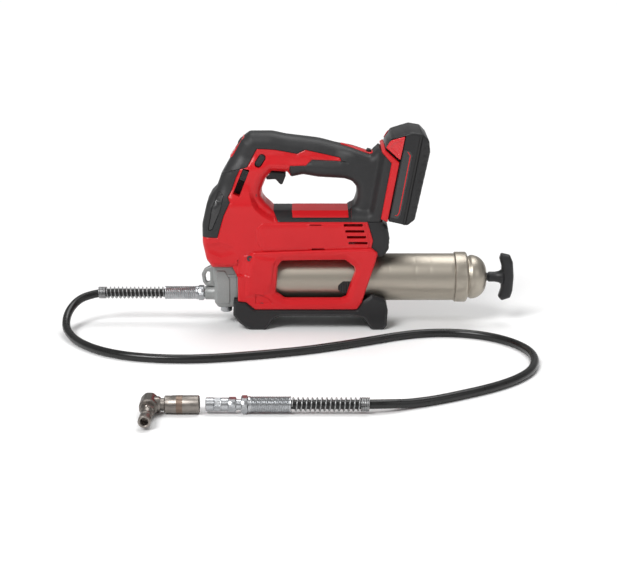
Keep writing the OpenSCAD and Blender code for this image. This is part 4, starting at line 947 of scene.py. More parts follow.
@dataclass
class Casing:
    """Clamshell, its rubber skins, the rail and the lower frame, as height fields over one pattern."""

    body_half: float = 33.0
    column_half: float = 25.0
    handle_half: float = 19.3
    riser_half: float = 24.0
    flare_half: float = 34.0
    frame_half: float = 38.0
    frame_inner: float = 31.2
    seam: float = 0.15
    lock_centre: tuple = (-119.0, 207.7)
    loops: dict = field(default_factory=dict)

    def __post_init__(self) -> None:
        """Rounds every outline once."""
        named = dict(form=FORM, hole=HAND_HOLE, bumper=BUMPER, grip=GRIP, lower_grip=LOWER_GRIP, riser=RISER,
                     end_cap=END_CAP, rail=RAIL, inlay=RAIL_INLAY, panel=SIDE_PANEL, facet=FRONT_FACET,
                     scallop=NOSE_SCALLOP, lozenge=LOZENGE, pocket=TRIGGER_POCKET, throat=THROAT)
        self.loops = {key: loop_of(value) for key, value in named.items()}
        # The rounding starts from this rim, which leaves out the edges that other pieces cover
        self.rim = [loop_of([(-178, 77, 3), (-147, 77, 0), (-147, 60, 0), (15, 60, 0), (24, 88, 0),
                             *FORM[5:10],
                             (60, 135.2, 0), (60, 222.6, 0), *FORM[12:]]), self.loops["hole"]]
        self.slots = self.vents()
        self.lock = oval(self.lock_centre, 4.0, 4.6, 32)
        self.selector = self.selector_slot()

    def vents(self) -> list:
        """Four stepped slots of the vent and two small openings."""
        places = [(-18.5 + 2 * i, 129.6 - 7.3 * i, 23, 3.2) for i in range(4)]
        places += [(-60, 131, 15, 1.2), (-57, 100.4, 15, 2.4)]
        return [rounded([(x, z, 0.5), (x + w, z, 0.5), (x + w, z + h, 0.5), (x, z + h, 0.5)], 2)
                for x, z, w, h in places]

    @staticmethod
    def selector_slot() -> Array:
        """Slanted slot that the speed selector runs in."""
        return rounded([(-139.4, 199.2, 1), (-151.9, 168.6, 1), (-144.0, 165.4, 1), (-131.6, 197.0, 1)], 3)

    def half_width(self, p: Array) -> Array:
        """Half width of the whole form at points in X and Z.

        The flat half width steps down from the body to the column and the handle by smooth ramps of
        the height, and widens over the riser towards the battery. A rounded edge falls from it
        towards the rim, and raised or sunk areas add small steps.
        """
        x, z = p.T
        narrow = np.maximum(smoothstep(z, 152, 182), self.step("throat", p, 5.5))
        half = (self.body_half - (self.body_half - self.column_half) * narrow
                - (self.column_half - self.handle_half) * smoothstep(z, 197, 215))
        away = x - 26.2 - 0.176 * (z - 139.4)
        riser = self.riser_half + (self.flare_half - self.riser_half) * smoothstep(away, -17, -7)
        share = smoothstep(x, -30, -4) * smoothstep(z, 138, 150)
        radius = 8.5 + 4.5 * smoothstep(z, 146, 166) + 2.5 * smoothstep(z, 190, 207)
        radius = radius * (1 - share) + 10 * share
        half = half * (1 - share) + riser * share
        width = half - round_over(rim_distance(p, self.rim), radius)
        width += 1.5 * self.step("panel", p, 2.2) + 1.1 * self.step("facet", p,
                                                                    1.8) - 1.3 * self.step("scallop", p, 4)
        return width

    def step(self, area: str, p: Array, run: float) -> Array:
        """Ramp from 0 at an area's edge to 1 at the run's distance inside it."""
        loop = self.loops[area]
        return np.where(contains(p, loop), smoothstep(rim_distance(p, [loop]), 0, run), 0.0)

    def rail_width(self, p: Array) -> Array:
        """Half width of the rail: a straight bevel from the body's side up to the flat top."""
        z = p[:, 1]
        return 33.0 - 14.0 * np.clip((z - 136.2) / 10.3, 0, 1)

    def groove(self, p: Array, areas: Sequence[str], depth: float = 0.8, run: float = 1.0) -> Array:
        """Depth of the joint line along the edges of some areas."""
        away = rim_distance(p, [self.loops[a] for a in areas])
        fade = 1.0 if areas == ("end_cap",) else 1 - smoothstep(p[:, 0], -17, -11) * smoothstep(p[:, 1], 150,
                                                                                                160)
        return depth * (1 - smoothstep(away, 0, run)) * fade

    def build(self) -> None:
        """Makes every piece of the casing."""
        loops = self.loops
        areas = ("bumper", "grip", "lower_grip", "end_cap", "rail", "inlay", "panel", "facet", "scallop",
                 "lozenge",
                 "throat")
        form, hole = loops["form"], loops["hole"]
        pattern = filled([form, hole], lambda p: contains(p, form) & ~contains(p, hole), 1.9,
                         lines=[loops[a] for a in areas]
                         + [loops["riser"], *self.slots, self.lock, self.selector],
                         rings=(0.15, 0.5, 1.1, 2.0, 3.2, 4.8, 7.0))
        middle = pattern.centres()
        inside = {a: contains(middle, loops[a]) for a in (*areas, "riser")}
        holes = np.any([contains(middle, s) for s in self.slots], axis=0) | contains(middle, self.lock)
        selector = contains(middle, self.selector)
        rail = inside["rail"] & ~inside["inlay"]
        soft = inside["bumper"] | inside["grip"] | inside["lower_grip"]
        red = ~(soft | inside["riser"] | inside["end_cap"] | inside["rail"] | inside["inlay"])
        self.shell("right_shell", pattern.only(red & ~holes & ~selector), -1)
        self.shell("left_shell", pattern.only(red & ~holes), 1)
        skins = (("handle_rubber", inside["grip"] & ~inside["bumper"] & ~contains(middle, self.lock)
                  & ~selector,
                  "handle_grip", ("grip",)),
                 ("lower_grip_rubber", inside["lower_grip"], "lower_grip", ("lower_grip",)),
                 ("bumper_rubber", inside["bumper"] & ~inside["lozenge"], "front_bumper", ("bumper",)))
        for name, mask, node, edges in skins:
            self.skin(name, pattern.only(mask), node, edges)
        self.pads(pattern.only(inside["lozenge"]))
        self.riser(pattern.only(inside["riser"] & ~inside["grip"]))
        self.end_cap(pattern.only(inside["end_cap"] & ~inside["riser"]))
        self.rail_piece("rail_bar", pattern.only(rail), "rail_cover", BLACK, 0.0)
        self.rail_piece("rail_inlay", pattern.only(inside["inlay"]), "rail_insert", RED, 0.35)
        self.lower_frame()
        self.trims()

    def shell(self, name: str, pattern: Pattern, side: int) -> None:
        """One half of the clamshell, solid to just short of the parting plane but for the trigger pocket."""
        width = self.half_width(pattern.points)
        width -= self.groove(pattern.points, ("bumper", "grip", "lower_grip", "end_cap", "rail"))
        inner = self.seam + (9.3 - self.seam) * self.step("pocket", pattern.points, 0.8)
        width = np.maximum(width, inner + 0.5)
        form = Form()
        if side < 0:
            form.slab(pattern, -width, -inner)
        else:
            form.slab(pattern, inner, width)
        piece = dress(form.made(name), RED, "root")
        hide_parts("housing_right" if side < 0 else "housing_left")

    def skin(self, name: str, pattern: Pattern, node: str, edges: Sequence[str]) -> None:
        """Rubber skin over both sides, standing a little proud, with a rounded edge."""
        p = pattern.points
        width = self.half_width(p) + 0.45 - self.groove(p, edges, 1.1, 1.3)
        width = np.maximum(width, 0.6)
        dress(Form().slab(pattern, -width, width).made(name), RUBBER, "root", [node])

    def pads(self, pattern: Pattern) -> None:
        """Glossy pad let into each side of the bumper, domed from a sunk edge."""
        p = pattern.points
        width = self.half_width(p) - 0.4 + 1.7 * self.step("lozenge", p, 2.4)
        dress(Form().slab(pattern, -width, width).made("bumper_pad"), PAD, "root")

    def riser(self, pattern: Pattern) -> None:
        """Rubber behind the hand hole, which flares out to the battery's receptacle."""
        p = pattern.points
        width = self.half_width(p) + 0.45 - self.groove(p, ("end_cap",), 0.5, 1.0)
        width = np.maximum(width, 0.6)
        dress(Form().slab(pattern, -width, width).made("riser_rubber"), RUBBER, "root",
              ["rear_grip"])

    def end_cap(self, pattern: Pattern) -> None:
        """Motor end cap, with slots in its rear that show red inside."""
        p = pattern.points
        width = np.maximum(self.half_width(p) - 0.6 - self.groove(p, ("end_cap",), 0.8, 1.2), 0.6)
        piece = dress(Form().slab(pattern, -width, width).made("end_cap_shell"), BLACK, "root",
                      ["motor_end_cap"])
        form = Form()
        for z in (102.0, 107.5, 113.0, 118.5, 124.0):
            for side in (-1, 1):
                bar = rounded([(28, z, 1.2), (39, z + 0.9, 1.2), (39, z + 4.6, 1.2), (28, z + 3.7, 1.2)], 3)
                lines = filled([bar], lambda q, bar=bar: contains(q, bar), 3.0, rings=())
                form.slab(lines, min(side * 4, side * 27), max(side * 4, side * 27))
        cutter = form.made("vent_cutter")
        carve(piece, cutter)
        back = Form()
        plate = rounded([(24, 99, 2), (34.6, 100.4, 3), (35.6, 112.3, 5), (33.2, 126.6, 4), (24, 130, 2)])
        back.slab(filled([plate], lambda q: contains(q, plate), 3.0, rings=()), -25.0, 25.0)
        dress(back.made("end_cap_lining"), RED, "root")

    def rail_piece(self, name: str, pattern: Pattern, node: str, finish: Finish,
                   lift: float) -> None:
        """Part of the bevelled bar over the body."""
        p = pattern.points
        rim = resampled(np.array([[-103.8, 146.6], [-103.5, 160], [-9.2, 160], [-9.2, 146.6]]), 5)
        width = self.rail_width(p) + lift - self.groove(p, ("inlay",), 0.5, 0.8)
        width -= round_over(rim_distance(p, [rim]), 1.0) if node == "rail_cover" else 0.0
        dress(Form().slab(pattern, -width, width).made(name, 25.0), finish, "root", [node])

    def lower_frame(self) -> None:
        """Side plates round the window, with wide bevels, and the block round the barrel's collar."""
        outer, window = loop_of(LOWER_FRAME), loop_of(WINDOW)
        band, tray = rounded(FRAME_BAND), rounded(FRAME_TRAY)
        keep = lambda q: contains(q, outer) & ~contains(q, window)
        pattern = filled([outer, window], keep, 2.0, lines=[band, tray],
                         rings=(0.2, 0.7, 1.5, 2.6, 3.6, 5.0, 7.0))
        p = pattern.points
        to_window = rim_distance(p, [window])
        width = self.frame_half - round_over(rim_distance(p, [outer]), 2.5)
        width -= 3.6 * (1 - smoothstep(to_window, 0.3, 1.2)) + 2.4 * (1 - np.clip(to_window / 7.5, 0, 1))
        for loop, rise, run in ((band, 0.9, 2.2), (tray, -1.2, 0.9)):
            width += rise * np.where(contains(p, loop), smoothstep(rim_distance(p, [loop]), 0, run), 0.0)
        lean = np.clip(-131.5 + 0.175 * (p[:, 1] - 69.4) - p[:, 0], 0, 20) * smoothstep(p[:, 1], 68.6, 69.8)
        width -= 0.9 + 0.34 * lean
        for name, side in (("right_frame", -1), ("left_frame", 1)):
            form = Form()
            if side < 0:
                form.slab(pattern, -width, -self.frame_inner)
            else:
                form.slab(pattern, self.frame_inner, width)
            self.closure(form, side)
            dress(form.made(name), RED, "root")

    def closure(self, form: Form, side: int) -> None:
        """Front wall and floor that join the side plates round the barrel, as half of the frame."""
        low, high = cad_box("barrel")
        centre = (low[2] + high[2]) / 2
        reach = self.frame_inner + 1.5
        wall = rounded([(-reach, 27, 2), (reach, 27, 2), (reach, 92, 0), (-reach, 92, 0)])
        angle = np.linspace(0, 2 * np.pi, 72, endpoint=False)
        ring = np.stack([33.4 * np.cos(angle), centre + 33.4 * np.sin(angle)], 1)

        def keep(q: Array) -> Array:
            """Inside the wall, outside the collar's hole and on this side."""
            return contains(q, wall) & ~contains(q, ring) & (q[:, 0] * side > 0.1)

        middle = np.array([[0.1 * side, 0], [0.1 * side, 150], [0.2 * side, 150], [0.2 * side, 0]], float)
        pattern = filled([wall, ring], keep, 3.0, lines=[middle], rings=(), line_rings=())
        form.slab(pattern, -146.2, -120.0, lambda q: q[:, [1, 0, 2]])

    def trims(self) -> None:
        """Red strip along the top of the riser and the small black lug behind it."""
        top = np.array([[-22, 225.2], [-9, 221.4], [4, 216.8], [13, 214.0], [19, 215.6], [23.3, 220.6]])
        t = np.linspace(0, 1, 60)
        x = np.interp(t, np.linspace(0, 1, len(top)), top[:, 0])
        z = np.interp(x, top[:, 0], top[:, 1])
        z = np.convolve(np.pad(z, 4, mode="edge"), np.ones(9) / 9, "valid") + 0.15
        strip = Form()
        profile = np.array([[-9, -2.4], [-9, 0.3], [-8, 0.8], [8, 0.8], [9, 0.3], [9, -2.4]])
        wide = (0.35 + 0.65 * smoothstep(x, -24, 8))[:, None]
        points = np.stack([x[:, None] + 0 * wide * profile[None, :, 0], wide * profile[None, :, 0],
                           z[:, None] + profile[None, :, 1] + 0 * wide], 2)
        n = len(profile)
        ends = [np.arange(n), np.arange(len(x) * n - n, len(x) * n)]
        strip.add(points.reshape(-1, 3), [*grid_faces(len(x), n, False, True), *ends])
        dress(strip.made("spine_strip"), RED, "root")
        lug = rounded([(8.0, 213.5, 0), (15.5, 212, 0), (14.6, 218.2, 1.2), (9.8, 219.4, 1.6)])
        pattern = filled([lug], lambda q: contains(q, lug), 1.2, rings=(0.3, 0.8))
        half = 4.5 - round_over(rim_distance(pattern.points, [lug]), 1.2)
        dress(Form().slab(pattern, -half, half).made("spine_lug"), BLACK, "root")


# ---- Base ----

BASE = [(-153, 18.6, 3), (-145, 8, 3), (-133, 0, 4), (-113, 0, 3), (-104, 14, 4), (-96, 17.5, 4),
        (-8, 17.5, 4),
        (7, 14.5, 5), (16, 0, 4), (31, 0, 3), (35, 5, 3), (36.1, 25, 3), (32.3, 37.7, 2), (16.4, 44.1, 2),
        (4.3, 35.4, 0), (-1.7, 26.2, 0), (-126.2, 26.2, 0), (-137.1, 35.4, 0), (-147, 36.6, 0),
        (-152.5, 37, 1)]


@dataclass
class Base:
    """Black base with two feet and the pads that steady the barrel."""

    half: float = 37.0

    def build(self) -> None:
        """Makes the base, cut clear of the barrel and the pump head, and dresses the pads."""
        outline = loop_of(BASE)
        pattern = filled([outline], lambda q: contains(q, outline), 2.4, rings=(0.2, 0.7, 1.6, 2.8))
        d = rim_distance(pattern.points, [outline])
        half = self.half - 2.8 * (1 - smoothstep(d, 0, 3.2))
        base = Form().slab(pattern, -half, half).made("base_shell")
        low, high = cad_box("barrel")
        z, radius = (low[2] + high[2]) / 2, (high[2] - low[2]) / 2
        cutter = Form().turned(chamfered(120, radius + 0.6, 0.1), (-60, 0, z), (1, 0, 0), 96)
        cutter.turned(chamfered(42, radius + 4.6, 0.1), (-160, 0, z), (1, 0, 0), 96)
        cutter.slab(filled([np.array([[-160.0, 20], [-141, 20], [-141, 50], [-160, 50]])],
                           lambda q: np.ones(len(q), bool), 8, rings=()), -22.0, 22.0)
        carve(base, cutter.made("barrel_cutter"))
        dress(base, BLACK, "root", ["base_skid"])
        form = Form()
        for side in (-1, 1):
            outline = rounded([(-25, 50, 3), (-20, 44.8, 3), (-5, 44.8, 1), (-5, 60, 1), (-19, 60, 4),
                               (-24.5, 55, 3)])
            pattern = filled([outline], lambda q: contains(q, outline), 0.8, rings=(0.2, 0.7, 1.4))
            rib = 0.9 * smoothstep(np.sin(2 * np.pi * pattern.points[:, 0] / 3.0), -0.3, 0.5)
            edge = 31.0 - round_over(rim_distance(pattern.points, [outline]), 1.2) - rib
            form.slab(pattern, *((-edge, -28.9) if side < 0 else (28.9, edge)))
        dress(form.made("window_pads", 20.0), SEAL, "root", ["barrel_pads"])


# ---- Controls ----


@dataclass
class Controls:
    """Trigger, lock-off button, speed selector and lamp."""

    def build(self) -> None:
        """Makes each control."""
        self.trigger()
        self.lock_button()
        self.selector()
        self.lamp()

    def trigger(self) -> None:
        """Trigger blade with a crowned face."""
        outline = rounded([(-112, 181.5, 2), (-101, 182.2, 4), (-95, 175.5, 1.5), (-92.5, 176, 1.5),
                           (-88.5, 186, 2),
                           (-88.5, 191.5, 1), (-113.5, 193.5, 2)])
        pattern = filled([outline], lambda q: contains(q, outline), 1.4, rings=(0.15, 0.5, 1.1, 2.0))
        half = 8.0 - round_over(rim_distance(pattern.points, [outline]), 2.6)
        piece = Form().slab(pattern, -half, half).made("trigger_blade")
        dress(piece, BLACK, "trigger", ["trigger"])

    def lock_button(self) -> None:
        """Slanted oval button that passes through the handle, with a dished face."""
        outline = oval(Casing.lock_centre, 4.0, 4.0, 32)
        pattern = filled([outline], lambda q: contains(q, outline), 1.0, rings=(0.15, 0.5, 1.0))
        d = rim_distance(pattern.points, [outline])
        half = 21.5 - round_over(d, 1.2) - 0.5 * smoothstep(d, 1.3, 4.0)
        dress(Form().slab(pattern, -half, half).made("lock_off_button"), BLACK, "lock",
              ["lock_button"])

    def selector(self) -> None:
        """Sliding selector with five ribs and a dark well behind it."""
        piece = copied_node("speed_selector", "selector_slider", 0.35)
        dress(piece, BLACK, "selector")
        slot = Casing.selector_slot()
        pattern = filled([slot], lambda q: contains(q, slot), 2.0, rings=())
        dress(Form().slab(pattern, -15.6, -13.0).made("selector_well"), SEAL, "root")

    def lamp(self) -> None:
        """Thin red frame round a dark panel on the nose, with the lamp's lens and its rubber button."""
        outer = rounded([(-15.5, -10, 4), (15.5, -10, 4), (15.5, 10, 4), (-15.5, 10, 4)])
        inner = rounded([(-13.6, -8, 3), (13.6, -8, 3), (13.6, 8, 3), (-13.6, 8, 3)])
        ring = filled([outer, inner], lambda q: contains(q, outer) & ~contains(q, inner), 1.5,
                      rings=(0.3, 0.7))
        edge = 0.9 - round_over(rim_distance(ring.points, [outer, inner]), 0.6)
        dress(Form().slab(ring, -4.5, edge, self.on_nose).made("lamp_frame", 40.0), RED_GLOSS, "root",
              ["lamp_bezel"])
        panel = filled([inner], lambda q: contains(q, inner), 3.0, rings=())
        dress(Form().slab(panel, -4.0, -0.2, self.on_nose).made("lamp_panel"), BLACK, "root")
        axis = self.on_nose(np.array([[0.0, 1.0, 0.0], [0.0, 0.0, 0.0]]))
        out = axis[0] - axis[1]
        lens, button = self.on_nose(np.array([[-7.6, 0.0, 0.0], [7.6, 0.0, 0.0]]))
        glass = Form().turned([[-1, 0], [-1, 4.9], [0.5, 4.9], [1.3, 4.1], [1.7, 2.2], [1.8, 0]], lens, out,
                              48)
        dress(glass.made("lamp_glass_cover"), LENS, "root", ["lamp_lens"])
        cap = Form().turned([[-1, 0], [-1, 4.5], [1.3, 4.5], [2.1, 3.9], [2.4, 2.6], [2.1, 1.4], [2.0, 0]],
                            button, out, 48)
        dress(cap.made("lamp_switch_cap"), RUBBER, "lamp_switch", ["lamp_button"])

    @staticmethod
    def on_nose(p: Array) -> Array:
        """Carries points (up the nose, out of it, across it) into the row frame."""
        lean = math.radians(90 - 33.8)
        up = np.array([math.cos(lean), 0.0, math.sin(lean)])
        out = np.array([-math.sin(lean), 0.0, math.cos(lean)])
        return np.array([-146.8, 0.0, 221.9]) + p[:, 0:1] * up + p[:, 1:2] * out + p[:, 2:3] * [0.0, 1.0, 0.0]


# ---- Pump head ----

HEAD = [(-172, 23.5, 4), (-150, 24, 4), (-147, 28, 1), (-147, 66, 2), (-153.5, 77, 1), (-178, 77, 2),
        (-178, 58, 2), (-176.5, 54, 1), (-176.5, 30, 3)]
EYELET = [(-188, 47.3, 3), (-176, 46, 0), (-176, 73.5, 0), (-181, 73, 3), (-189.5, 68.5, 3), (-193, 62, 3),
          (-191.5, 52, 3)]
EYE = [(-187, 52, 2), (-182.5, 52, 2), (-182.5, 65.5, 2), (-186, 65.5, 2), (-188.5, 60, 2)]
HEAD_RIB = [(-161.5, 62.5, 0.8), (-146, 62.5, 0), (-146, 66.5, 0), (-161.5, 66.5, 0.8)]
HEAD_FACE = [(-174, 28, 3), (-157, 28, 3), (-157, 60, 3), (-163, 71, 3), (-175, 71, 3)]


@dataclass
class PumpHead:
    """Grey cast head with its outlet boss, eyelet and collar."""

    outlet: float = 37.5

    def build(self) -> None:
        """Makes the casting, the plug and the bleed valve."""
        outline, rib, face = loop_of(HEAD), loop_of(HEAD_RIB), loop_of(HEAD_FACE)
        pattern = filled([outline], lambda q: contains(q, outline), 1.6, lines=[rib, face],
                         rings=(0.15, 0.5, 1.1, 2.0, 3.0), line_rings=(0.5, 1.2))
        p = pattern.points
        half = 19.0 - round_over(rim_distance(p, [outline]), 3.0)
        half += np.where(contains(p, rib), smoothstep(rim_distance(p, [rib]), 0, 0.7), 0.0)
        half += 1.0 * np.where(contains(p, face), smoothstep(rim_distance(p, [face]), 0, 1.3), 0.0)
        form = Form().slab(pattern, -half, half)
        eyelet, eye = loop_of(EYELET), loop_of(EYE)
        ear = filled([eyelet, eye], lambda q: contains(q, eyelet) & ~contains(q, eye), 1.2,
                     rings=(0.15, 0.5, 1.1))
        half = 4.0 - round_over(rim_distance(ear.points, [eyelet, eye]), 1.5)
        form.slab(ear, -half, half)
        boss = np.array([[0, 0], [0, 7.8], [0.8, 8.5], [10, 8.5], [13.5, 9.6], [17, 12], [19, 12], [19, 0]])
        form.turned(boss, (-189.2, 0, self.outlet), (1, 0, 0), 64)
        low, high = cad_box("barrel")
        z, radius = (low[2] + high[2]) / 2, (high[2] - low[2]) / 2
        collar = np.array([[0, 0], [0, radius + 2.5], [1.5, radius + 4], [24.5, radius + 4],
                           [25.5, radius + 3],
                           [25.5, radius + 0.1], [7, radius + 0.1], [7, 0]])
        form.turned(collar, (-147.5, 0, z), (1, 0, 0), 96)
        form.turned(chamfered(12, 11, 0.6), (-163, 0, 76), (0, 0, 1), 64)
        form.turned([[0, 0], [0, 6.6], [1.2, 7.4], [5, 7.4], [5, 0]], (-163, 0, 20), (0, 0, 1), 48)
        dress(form.made("head_casting"), CASTING, "root", ["pump_head"])
        dress(copied_node("head_plug", "head_plug_screw", 0.5), ZINC, "root")
        dress(copied_node("bleed_valve", "bleed_screw", 0.3), ZINC, "bleed")


# ---- Barrel ----


@dataclass
class Barrel:
    """Grease barrel, domed cap, follower rod and T-handle."""

    seams: tuple = (38.0, 70.0, 88.0)

    def build(self) -> None:
        """Makes the tube, the cap and the handle, and dresses the rod."""
        low, high = cad_box("barrel")
        z, radius = (low[2] + high[2]) / 2, (high[2] - low[2]) / 2
        x = np.unique(np.concatenate([np.linspace(low[0] + 1, high[0] - 1, 60),
                                      *[np.array([-0.6, -0.3, 0, 0.3, 0.6]) + s for s in self.seams]]))
        mark = sum(0.06 * np.exp(-((x - s) / 0.3) ** 2) for s in self.seams)
        skin = np.stack([x, radius - mark], 1)
        profile = np.vstack([[low[0], radius - 1.6], [low[0], radius - 0.6], skin, [high[0], radius - 0.4],
                             [high[0], radius - 1.6]])
        tube = Form().turned(profile, (0, 0, z), (1, 0, 0), 128, closed=True)
        dress(tube.made("barrel_tube"), NICKEL, "barrel", ["barrel"])
        self.cap(z, radius, high[0])
        self.handle(z)
        dress(frame["nodes"]["follower_rod"], BLACK)

    def cap(self, z: float, radius: float, start: float) -> None:
        """Screwed cap: a flared ring, a waist and a dome, as an arc of an ellipse."""
        ring, dome, rod = radius + 2.0, radius - 1.9, 5.3
        angle = np.linspace(math.radians(88), math.radians(8), 24)
        arc = np.stack([20.5 + 19.3 * np.cos(angle), 6.8 + (dome - 6.8) * np.sin(angle)], 1)
        inner = np.stack([20.5 + 17.7 * np.cos(angle[::-1]), 6.8 + (dome - 8.3) * np.sin(angle[::-1])], 1)
        profile = np.vstack([[-0.3, radius + 0.15], [-0.3, ring - 1.0], [0.7, ring], [13.0, ring],
                             [14.2, ring - 0.6],
                             [15.2, ring - 1.9], [16.6, dome - 1.6], [18.0, dome - 1.4], [19.4, dome - 0.3],
                             arc,
                             [39.9, 6.8], [39.9, rod], [38.0, rod], inner, [16.0, dome - 2.6],
                             [4, dome - 2.4], [3.0, radius + 0.15]])
        cap = Form().turned(profile, (start, 0, z), (1, 0, 0), 128, closed=True)
        dress(cap.made("barrel_end_cap", 40.0), NICKEL, "barrel", ["barrel_cap"])

    def handle(self, z: float) -> None:
        """T-handle: a bowed grip bar with rounded edges on a tapering collar."""
        outline = rounded([(178.6, 28, 2), (189.6, 31.8, 3), (192, 40, 3), (193, 58, 10), (191.5, 76.8, 3),
                           (187.7, 85.7, 3), (176.5, 88.3, 2), (174.5, 82, 2), (177.5, 72, 3), (177.5, 44, 3),
                           (174.5, 33, 2)])
        pattern = filled([outline], lambda q: contains(q, outline), 1.6, rings=(0.15, 0.5, 1.2, 2.2, 3.6))
        half = 8.0 - round_over(rim_distance(pattern.points, [outline]), 6.0)
        form = Form().slab(pattern, -half, half)
        form.turned([[0, 0], [0, 5.6], [0.8, 6.3], [8, 6.3], [13, 7.2], [16.5, 9.5], [18, 9.5], [18, 0]],
                    (161.5, 0, z), (1, 0, 0), 48)
        dress(form.made("t_grip"), BLACK, "rod", ["t_handle"])


# ---- Battery ----

RECEPTACLE = [(0, 0, 0.8), (8.5, -2.5, 1), (8.9, 71.5, 1), (-11.1, 84, 1), (-14.5, 80.5, 1), (-0.2, 69.2, 2)]
CASE = [(9.3, -1.5, 1), (23, -2, 3), (28.4, -2.5, 0.5), (28.4, 110, 0.5), (16, 110, 8), (-4.5, 99.5, 6),
        (-9.5, 88.5, 3), (-10.4, 84.5, 1), (9.3, 72.2, 0.5)]
PACK_BASE = [(28.6, -3, 0.5), (33, -2.5, 3), (40.5, 5, 8), (42.8, 90, 14), (39, 103.5, 8), (30, 110, 3),
             (28.6, 110, 0.5)]
LATCH = [(9.2, 74.6, 1), (9.8, 104, 1), (-6.8, 95.8, 8), (-10.2, 86.6, 1)]
LABEL = [(11, 4, 1.5), (20, 4, 1.5), (22.5, 10, 2), (22.5, 84, 3), (18, 88, 2), (11, 88, 1)]
LABEL_LINE = [(13.4, 7.5, 1), (18.6, 7.5, 1.5), (20.4, 11.5, 2), (20.4, 82.5, 3), (16.5, 86.3, 1.5),
              (13.5, 86.3, 0.5)]


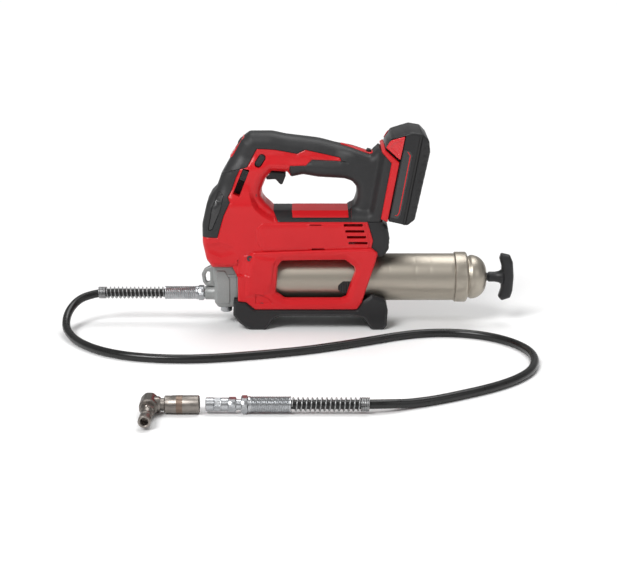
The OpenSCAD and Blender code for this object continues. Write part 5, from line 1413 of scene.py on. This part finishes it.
@dataclass
class Battery:
    """Receptacle and slide-on pack, drawn in the pack's own tilted frame."""

    origin: tuple = (26.2, 139.4)
    tilt: float = 10.0
    half: float = 37.0

    def place(self, p: Array) -> Array:
        """Turns points from the pack's frame into the row frame: a turn about Y, then a shift."""
        c, s = math.cos(math.radians(self.tilt)), math.sin(math.radians(self.tilt))
        x, y, z = p.T
        return np.stack([self.origin[0] + c * x + s * z, y, self.origin[1] - s * x + c * z], 1)

    def block(self, outline: Outline, half: float, radius: float, spacing: float = 1.8,
              sunk: Callable[[Array], Array] = lambda p: np.zeros(len(p))) -> Form:
        """Solid over an outline with rounded edges, on both sides of the middle plane."""
        loop = loop_of(outline)
        pattern = filled([loop], lambda q: contains(q, loop), spacing, rings=(0.15, 0.5, 1.2, 2.2, 3.6))
        width = half - round_over(rim_distance(pattern.points, [loop]), radius) - sunk(pattern.points)
        return Form().slab(pattern, -width, width, self.place)

    def build(self) -> None:
        """Makes the receptacle and the pack."""
        receptacle = self.block(RECEPTACLE, self.half, 1.6).made("receptacle_trim")
        dress(receptacle, RED, "root", ["battery_receptacle"])
        self.case()
        self.foot()
        self.latches()
        self.label()
        self.gauge()

    def case(self) -> None:
        """Front case with a recess for each latch."""
        recess = rounded([(8.4, 72.9, 0.5), (10.2, 72.9, 0.5), (10.8, 105.4, 1), (-7.6, 96.8, 8),
                          (-11.4, 85.2, 1)])

        def sunk(p: Array) -> Array:
            """Depth of the recess under the latch."""
            return 4.6 * np.where(contains(p, recess), smoothstep(rim_distance(p, [recess]), 0, 0.5), 0.0)

        loop = loop_of(CASE)
        pattern = filled([loop], lambda q: contains(q, loop), 1.6, lines=[recess],
                         rings=(0.15, 0.5, 1.2, 2.2, 3.6), line_rings=(0.25, 0.6))
        width = self.half - round_over(rim_distance(pattern.points, [loop]), 3.0) - sunk(pattern.points)
        form = Form().slab(pattern, -width, width, self.place)
        dress(form.made("pack_case"), BLACK, "battery", ["battery_case"])

    def foot(self) -> None:
        """Rear shell of the pack with grip ribs across its back."""
        loop = loop_of(PACK_BASE)
        pattern = filled([loop], lambda q: contains(q, loop), 1.6, rings=(0.15, 0.5, 1.2, 2.2, 3.6, 5.0))
        p = pattern.points
        rib = 0.9 * smoothstep(p[:, 0], 34.5, 36) * smoothstep(np.sin(2 * np.pi * p[:, 1] / 10.5), 0.1, 0.6)
        width = self.half - round_over(rim_distance(p, [loop]), 4.5) - rib
        dress(Form().slab(pattern, -width, width, self.place).made("pack_rear_shell"), BLACK, "battery",
              ["battery_base"])
        band = self.block([(27.2, -2.0, 0.5), (29.8, -2.2, 0.5), (29.8, 109.6, 0.5), (27.2, 109.6, 0.5)],
                          self.half + 0.25, 0.6)
        dress(band.made("pack_joint_band"), SEAL, "battery")

    def latches(self) -> None:
        """Two red latch buttons, each with a raised thumb pad."""
        loop = loop_of(LATCH)
        pad = rounded([(6.8, 79, 2), (7.2, 99.5, 1), (-2.5, 94, 5), (-6, 87.8, 2)])
        pattern = filled([loop], lambda q: contains(q, loop), 1.3, lines=[pad], rings=(0.15, 0.5, 1.0),
                         line_rings=(0.4, 0.9))
        p = pattern.points
        width = self.half + 0.8 - round_over(rim_distance(p, [loop]), 1.0)
        width -= 0.7 * np.where(contains(p, pad), smoothstep(rim_distance(p, [pad]), 0, 1.2), 0.0)
        inner = self.half - 1.5
        for name, side, node in (("latch_button_right", -1, "battery_latch_right"),
                                 ("latch_button_left", 1, "battery_latch_left")):
            form = Form()
            if side < 0:
                form.slab(pattern, -width, -inner, self.place)
            else:
                form.slab(pattern, inner, width, self.place)
            dress(form.made(name), RED_GLOSS, node.replace("battery_", ""), [node])

    def label(self) -> None:
        """Plain dark field on each side of the pack, with a thin red line along its rear edge."""
        field_loop, line = loop_of(LABEL), loop_of(LABEL_LINE)
        centre = line.mean(0)
        inner = centre + (line - centre) * np.array([0.8, 0.985]) - [0.5, 0.0]
        plate = filled([field_loop], lambda q: contains(q, field_loop), 3.0, rings=(0.3, 0.8))
        right = np.array([[15.5, 0], [30, 0], [30, 95], [15.5, 95]])
        ring = filled([line, inner], lambda q: contains(q, line) & ~contains(q, inner) & contains(q, right),
                      2.0,
                      lines=[right], rings=())
        drop = round_over(rim_distance(plate.points, [field_loop]), 0.3)
        plates, lines = Form(), Form()
        plates.slab(plate, -(self.half + 0.2 - drop), -(self.half - 0.6), self.place)
        plates.slab(plate, self.half - 0.6, self.half + 0.2 - drop, self.place)
        lines.slab(ring, -(self.half + 0.32), -self.half, self.place)
        lines.slab(ring, self.half, self.half + 0.32, self.place)
        dress(plates.made("pack_label_field"), GLOSS_BLACK, "battery")
        dress(lines.made("pack_label_line"), RED, "battery")

    def gauge(self) -> None:
        """Charge gauge on the slanted front of the pack: a grey plate with four windows and a button."""
        start, end = np.array([-7.4, 91.8]), np.array([12.5, 105.9])
        along = (end - start) / np.linalg.norm(end - start)
        out = np.array([-along[1], along[0]])

        def bar(low: float, high: float, thick: float, lift: float) -> Array:
            """Rectangle along the slanted face, as a closed loop."""
            a, b = start + along * low, start + along * high
            return np.array([a + out * (lift - thick), b + out * (lift - thick), b + out * lift,
                             a + out * lift])

        def strip(rect: Array, y0: float, y1: float, form: Form) -> None:
            """Adds one bar between two widths."""
            pattern = filled([rect], lambda q: contains(q, rect), 5.0, rings=())
            form.slab(pattern, y0, y1, self.place)

        plate, windows = Form(), Form()
        strip(bar(1.5, 22.5, 2.0, 0.45), -22.0, 22.0, plate)
        for k in range(4):
            strip(bar(10.0, 14.5, 0.6, 0.7), -16.0 + 6.0 * k, -12.5 + 6.0 * k, windows)
        strip(bar(8.5, 16.0, 0.6, 0.75), 11.0, 18.0, windows)
        dress(plate.made("gauge_plate", 20.0), GLOSS_BLACK, "battery")
        dress(windows.made("gauge_windows", 20.0), RED_GLOSS, "battery")


# ---- Inside ----

INSIDE = {"stator": MACHINED, "rotor": MACHINED, "cooling_fan": BLACK, "bearings": MACHINED,
          "ring_gear": MACHINED, "planet_carrier": MACHINED, "planet_gear_1": MACHINED,
          "planet_gear_2": MACHINED, "planet_gear_3": MACHINED, "pump_yoke": MACHINED, "pump_plunger": ZINC,
          "control_board": BOARD, "trigger_switch": BLACK, "trigger_pin": ZINC,
          "trigger_spring": SPRING_STEEL,
          "check_valve": BRASS, "follower": CASTING, "follower_seal": SEAL, "follower_spring": SPRING_STEEL,
          "battery_cells": CELL, "terminal_block": BLACK, "housing_screws": SCREW}


def dress_insides() -> None:
    """Gives the CAD nodes that stay as they are their finishes."""
    for node, finish in INSIDE.items():
        dress(frame["nodes"][node], finish)


def main() -> None:
    """Builds the stage, the hose with what is on it, and then the gun from its casing outwards."""
    logging.basicConfig(level=logging.INFO, format="%(name)s: %(message)s")
    Studio().build()
    hose = Hose()
    on_it = HoseEnds().build(hose) + Adapter().build(hose.tip_y, hose.tip_z)
    hose.build(on_it)
    Casing().build()
    Base().build()
    Controls().build()
    PumpHead().build()
    Barrel().build()
    Battery().build()
    dress_insides()


if __name__ == "__main__":
    main()
